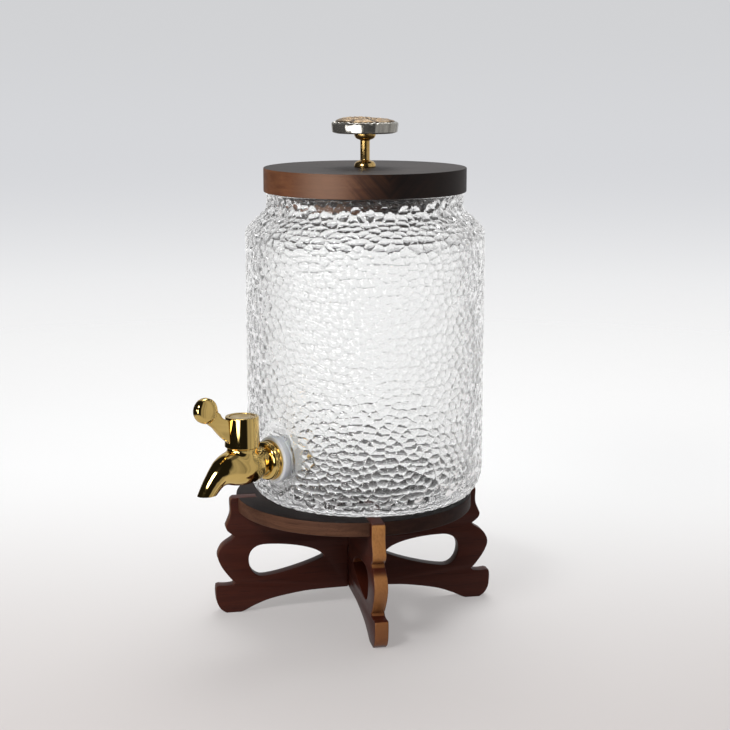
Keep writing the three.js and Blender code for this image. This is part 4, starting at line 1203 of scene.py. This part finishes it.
def board_half(lap_from_top):
    """Half of a leg board, from its middle at the top, round the scroll and back under the arch."""
    under = PLATE_UNDER - SEATED
    lap, middle = BOARD_HALF + GAP, (PLATE_UNDER + ARCH_HEIGHT) / 2
    tab_in, tab_out = PLATE_RADIUS - SLOT_DEPTH + GAP, PLATE_RADIUS + 5.4
    line = [(lap, middle - 0.1), (lap, under)] if lap_from_top else []
    line += [(tab_in, under), (tab_in, STAND_TOP), (tab_out - 3, STAND_TOP)]
    line += arc((tab_out - 3, STAND_TOP - 3), (3, 3), 80, 0, 6)
    line += spline([(tab_out, STAND_TOP - 4.5)] + scroll(BROW), 6)[1:]
    for points, steps in ((CHEEK, 6), (TOE_TOP, 4), (TOE_FRONT, 6)):
        line += spline(scroll(points), steps)
    arch = [(u * FOOT_INNER, v * ARCH_HEIGHT) for u, v in ARCH]
    line += [(FOOT_INNER, 0)] + spline([(FOOT_INNER - 0.3, 0.05)] + arch + [(lap, ARCH_HEIGHT)], 6)[1:]
    return line if lap_from_top else line + [(lap, middle + 0.1)]


def window_line(side):
    line = []
    for a, b, c, d in np.array(WINDOW):
        for t in np.linspace(0, 1, 12, endpoint=False):
            line.append((1 - t) ** 3 * a + 3 * t * (1 - t) ** 2 * b + 3 * t * t * (1 - t) * c + t**3 * d)
    placed = np.array(line) * WINDOW_SIZE + WINDOW_AT
    return placed * (side, 1)


def board_mesh(name, outlines):
    """A flat board with holes, from closed outlines, its edges rounded."""
    curve = bpy.data.curves.new(name, "CURVE")
    curve.dimensions = "2D"
    curve.fill_mode = "BOTH"
    curve.extrude = (BOARD_HALF - BOARD_BEVEL) * MM
    curve.bevel_depth = BOARD_BEVEL * MM
    curve.bevel_resolution = 2
    curve.offset = -BOARD_BEVEL * MM
    for line in outlines:
        path = curve.splines.new("POLY")
        path.points.add(len(line) - 1)
        for point, (u, v) in zip(path.points, line):
            point.co = (u * MM, v * MM, 0, 1)
        path.use_cyclic_u = True
    thing = added(name, curve)
    mesh = evaluated_mesh(thing)
    bpy.data.objects.remove(thing)
    return mesh


def set_on_stand(mesh, turn):
    mesh.transform(Matrix.Rotation(turn, 4, "Z"))
    mesh.transform(Matrix.Translation((STAND_AXIS[0] * MM, STAND_AXIS[1] * MM, 0)))


def leg_board(name, lap_from_top, turn, cad_node):
    half = board_half(lap_from_top)
    whole = half + [(-u, v) for u, v in reversed(half)]
    mesh = board_mesh(name, [whole, window_line(1), window_line(-1)])
    mesh.transform(Matrix.Rotation(pi / 2, 4, "X"))
    set_on_stand(mesh, turn)
    cleaned(mesh, weld=True)
    board = softened(added(name, mesh), 32)
    place(board, "stand", leg_wood(name + "_wood", turn), cad_node)


def stand_plate():
    under, rim, top = (PLATE_RADIUS, PLATE_UNDER, 1.1), (PLATE_RADIUS, STAND_TOP, 1.1), (0, STAND_TOP)
    plate = turned("round_plate", rounded([(0, PLATE_UNDER), under, rim, top], 5), STAND_AXIS, 256)
    half = BOARD_HALF + GAP
    low, high = (PLATE_RADIUS - SLOT_DEPTH, -half, PLATE_UNDER - 4), (PLATE_RADIUS + 4, half, STAND_TOP + 4)
    for quarter in range(4):
        slot = block("slot", low, high)
        set_on_stand(slot.data, FIRST_TURN + quarter * pi / 2)
        combine(plate, slot)
    place(plate, "stand", plate_wood("plate_wood"), "stand_plate")


# Studio

CAMERA_AWAY, CAMERA_UP, CAMERA_PITCH = 1132.06, 392.33, radians(10.90)
LENS, SENSOR = 81.28, 36
JAR_MIDDLE = Vector((JAR_X, JAR_Y, 160)) * MM
CARD_AWAY = 600
CARD_TOP = 250
# The card's lower edge: azimuths from the camera's, and heights
CARD_FEET = [(-72, 205), (-52, 180), (-40, 140), (-33, 60), (-28, 26), (-22, 26), (-18, 60), (-13, 180)]
# What lies round the object, beyond the pale backdrop: azimuths from the camera's, elevations, softness
MIRRORED = [
    (((-180, 180), (60, 84), 5), 0.12),
    (((-145, 40), (-24, 84), 5), 0.015),
]
BENT = [
    (((-150, 150), (-26, 18), 10), 1.0),
    (((-180, 180), (19, 84), 6), 0.12),
    (((-60, 60), (-26, 30), 12), 0.22),
    (((-138, -104), (-26, 40), 6), 0.22),
    (((108, 138), (-26, 40), 6), 0.40),
]
SHINE = [(((-62, 50), (-30, 84), 12), 0.10)]


def make_camera():
    lens = bpy.data.cameras.new("camera")
    lens.lens = LENS
    lens.sensor_width = SENSOR
    lens.clip_start, lens.clip_end = 0.01, 50
    camera = added("camera", lens)
    front = np.array(FRONT)
    camera.location = Vector(np.array([*JAR_AXIS, CAMERA_UP]) + front * CAMERA_AWAY) * MM
    look = -front * cos(CAMERA_PITCH) - np.array([0, 0, sin(CAMERA_PITCH)])
    camera.rotation_euler = Vector(look).to_track_quat("-Z", "Y").to_euler()
    bpy.context.scene.camera = camera


def make_floor():
    """A pale floor with painted shade that greys it towards the camera, that melts into the background away
    from the object.
    """
    floor = solid("floor", *turned_points([(0, 0), (400, 0), (900, 0), (1900, 0)], 96))
    made, tree = new_material("floor_paper")
    where = object_place(tree)
    ahead = vectored("DOT_PRODUCT", where, FRONT)
    cloud = times(noise_of(where, 4, 4.0), 0.05)
    # Painted shade: the paper greys towards the camera, where less light falls.
    painted_falloff = mathed("ADD", ranged(ahead, -0.45, 0.30), cloud)
    paper_and_falloff = mixed(painted_falloff, (0.95, 0.95, 0.95), (0.66, 0.63, 0.62))
    seen_with_falloff = mixed(painted_falloff, (0.97, 0.97, 0.97), (0.66, 0.615, 0.60))
    fibre = bumped(noise_of(where, 900, 2.0), 0.05, 0.0001)
    diffuse = fed("BsdfDiffuse", {"Color": paper_and_falloff, "Normal": fibre})[0]
    glow = fed("Emission", {"Color": seen_with_falloff})[0]
    path = node(tree, "LightPath")
    through = times(path["Is Transmission Ray"], ranged(ahead, -0.10, 0.15, 0.75, 0.1))
    own_light = mathed("MAXIMUM", through, times(path["Is Camera Ray"], 0.4))
    lit = shader_mix(own_light, diffuse, glow)
    far = ranged(vectored("LENGTH", where), 0.55, 1.8)
    dress(floor, finished(made, shader_mix(far, lit, node(tree, "BsdfTransparent")[0])))
    floor.visible_glossy = False


def around(azimuth, elevation):
    """Unit vector towards an azimuth counted from the camera's and an elevation, in degrees."""
    a, e = CAMERA_AZIMUTH + radians(azimuth), radians(elevation)
    return Vector((sin(a) * cos(e), -cos(a) * cos(e), sin(e)))


def softbox(name, azimuth, elevation, distance, size, power, roll=0.0):
    """A flat lamp that looks at the middle of the jar, brightest in its middle."""
    lamp, tree = empty_tree(bpy.data.lights.new(name, "AREA"))
    spot = vectored("SUBTRACT", node(tree, "NewGeometry")["Parametric"], (0.5, 0.5, 0))
    shares = [ranged(size_of(way), 0.12, 0.5, 1.0, 0.0) for way in parts_of(spot)[:2]]
    glow = fed("Emission", {"Strength": times(*shares)})[0]
    fed("OutputLight", {"Surface": glow})
    lamp.shape = "RECTANGLE"
    lamp.size, lamp.size_y = size
    lamp.energy = power
    thing = added(name, lamp)
    back = around(azimuth, elevation)
    thing.location = JAR_MIDDLE + back * distance
    turn = (-back).to_track_quat("-Z", "Y").to_matrix() @ Matrix.Rotation(radians(roll), 3, "Z")
    thing.rotation_euler = turn.to_euler()


def bright_card():
    """A bright screen beside the camera, seen only as a reflection: its lower edge is round and dimmer."""
    corners = []
    for azimuth, foot in CARD_FEET:
        out = around(azimuth, 0) * CARD_AWAY
        corners += [(JAR_X + out.x, JAR_Y + out.y, z) for z in (foot, CARD_TOP)]
    faces = [(i, i + 2, i + 3, i + 1) for i in range(0, len(corners) - 2, 2)]
    card = solid("card", corners, faces)
    made, tree = new_material("card_light")
    power = ranged(parts_of(object_place(tree))[2], 0.025, 0.075, 0.6, 5.5)
    dress(card, finished(made, fed("Emission", {"Strength": power})[0]))
    card.visible_camera = card.visible_diffuse = card.visible_shadow = False
    card.visible_transmission = False


def zones(angle, up, colour, rows):
    """Lays values over parts of the surroundings, each fading in and out over its softness."""
    for ((left, right), (low, high), soft), value in rows:
        limits = (left, angle, float, 0), (right, angle, float, 1), (low, up, sin, 0), (high, up, sin, 1)
        edges = []
        for at, number, measure, start in limits:
            span = [measure(radians(at + way * soft)) for way in (-1, 1)]
            edges.append(ranged(number, *span, start, 1 - start))
        colour = mixed(times(*edges), colour, (value,) * 3)
    return colour


def make_world():
    """A pale backdrop, and the darker room round it that metal mirrors and glass bends."""
    world, tree = empty_tree(bpy.data.worlds.new("studio"))
    look = node(tree, "TexCoord")["Generated"]
    up = parts_of(look)[2]
    side = vectored("DOT_PRODUCT", look, RIGHT)
    angle = mathed("ARCTAN2", side, vectored("DOT_PRODUCT", look, FRONT))
    high = mixed(ranged(up, -0.07, 0.03), (0.675, 0.682, 0.705), (0.640, 0.645, 0.660))
    backdrop = mixed(ranged(up, -0.20, -0.06), (0.965, 0.965, 0.965), high)
    wall = ranged(line_noise(angle, 3.4, 4.0), 0.3, 0.7, 0.24, 0.78, "LINEAR")
    mirrored = mixed(ranged(angle, 2.3, 2.9), wall, backdrop)
    mirrored = mixed(ranged(up, -0.55, -0.35), (0.66, 0.65, 0.64), mirrored)
    mirrored = zones(angle, up, mirrored, MIRRORED)
    bent = mixed(ranged(up, 0.05, 0.3), (1.0, 1.0, 1.0), backdrop)
    bent = zones(angle, up, bent, BENT)
    shine = zones(angle, up, bent, SHINE)
    path = node(tree, "LightPath")
    glossy = path["Is Glossy Ray"]
    inside = mathed("GREATER_THAN", path["Transmission Depth"], 0.5)
    room = mixed(ranged(side, -0.9, 0.9), (0.55, 0.55, 0.55), (0.27, 0.27, 0.275))
    shown = mixed(glossy, room, mirrored)
    shown = mixed(path["Is Transmission Ray"], shown, bent)
    shown = mixed(times(path["Is Singular Ray"], glossy), shown, shine)
    shown = mixed(times(inside, glossy), shown, bent)
    shown = mixed(path["Is Camera Ray"], shown, backdrop)
    light = fed("Background", {"Color": shown})[0]
    fed("OutputWorld", {"Surface": light})
    bpy.context.scene.world = world


make_camera()
make_floor()
make_world()
bright_card()
softbox("overhead_softbox", 170, 66, 1.7, (1.5, 1.2), 47.5)
softbox("front_softbox", -35, 34, 1.5, (0.8, 0.36), 24.7, -12)
scene = bpy.context.scene
scene.view_settings.view_transform = "Standard"
scene.cycles.max_bounces = scene.cycles.transmission_bounces = 24
scene.cycles.glossy_bounces = 16

glass_jar()
tap_body()
flange_washer()
tap_handle()
handle_cap()
lid_board()
knob_stem()
knob_head()
knob_relief()
leg_board("scrolled_board_front", True, FIRST_TURN, "leg_board_front")
leg_board("scrolled_board_side", False, FIRST_TURN + pi / 2, "leg_board_side")
stand_plate()

# CAD nodes that keep their own shape
for name, material in {
    "inner_washer": silicone,
    "tap_nut": white_plastic,
    "handle_screw": steel,
    "valve_core": white_plastic,
    "core_o_ring_upper": black_rubber,
    "core_o_ring_lower": black_rubber,
    "lid_seal": seal_silicone,
    "knob_screw_washer": steel,
    "knob_screw": steel,
}.items():
    dress(frame["nodes"][name], material)
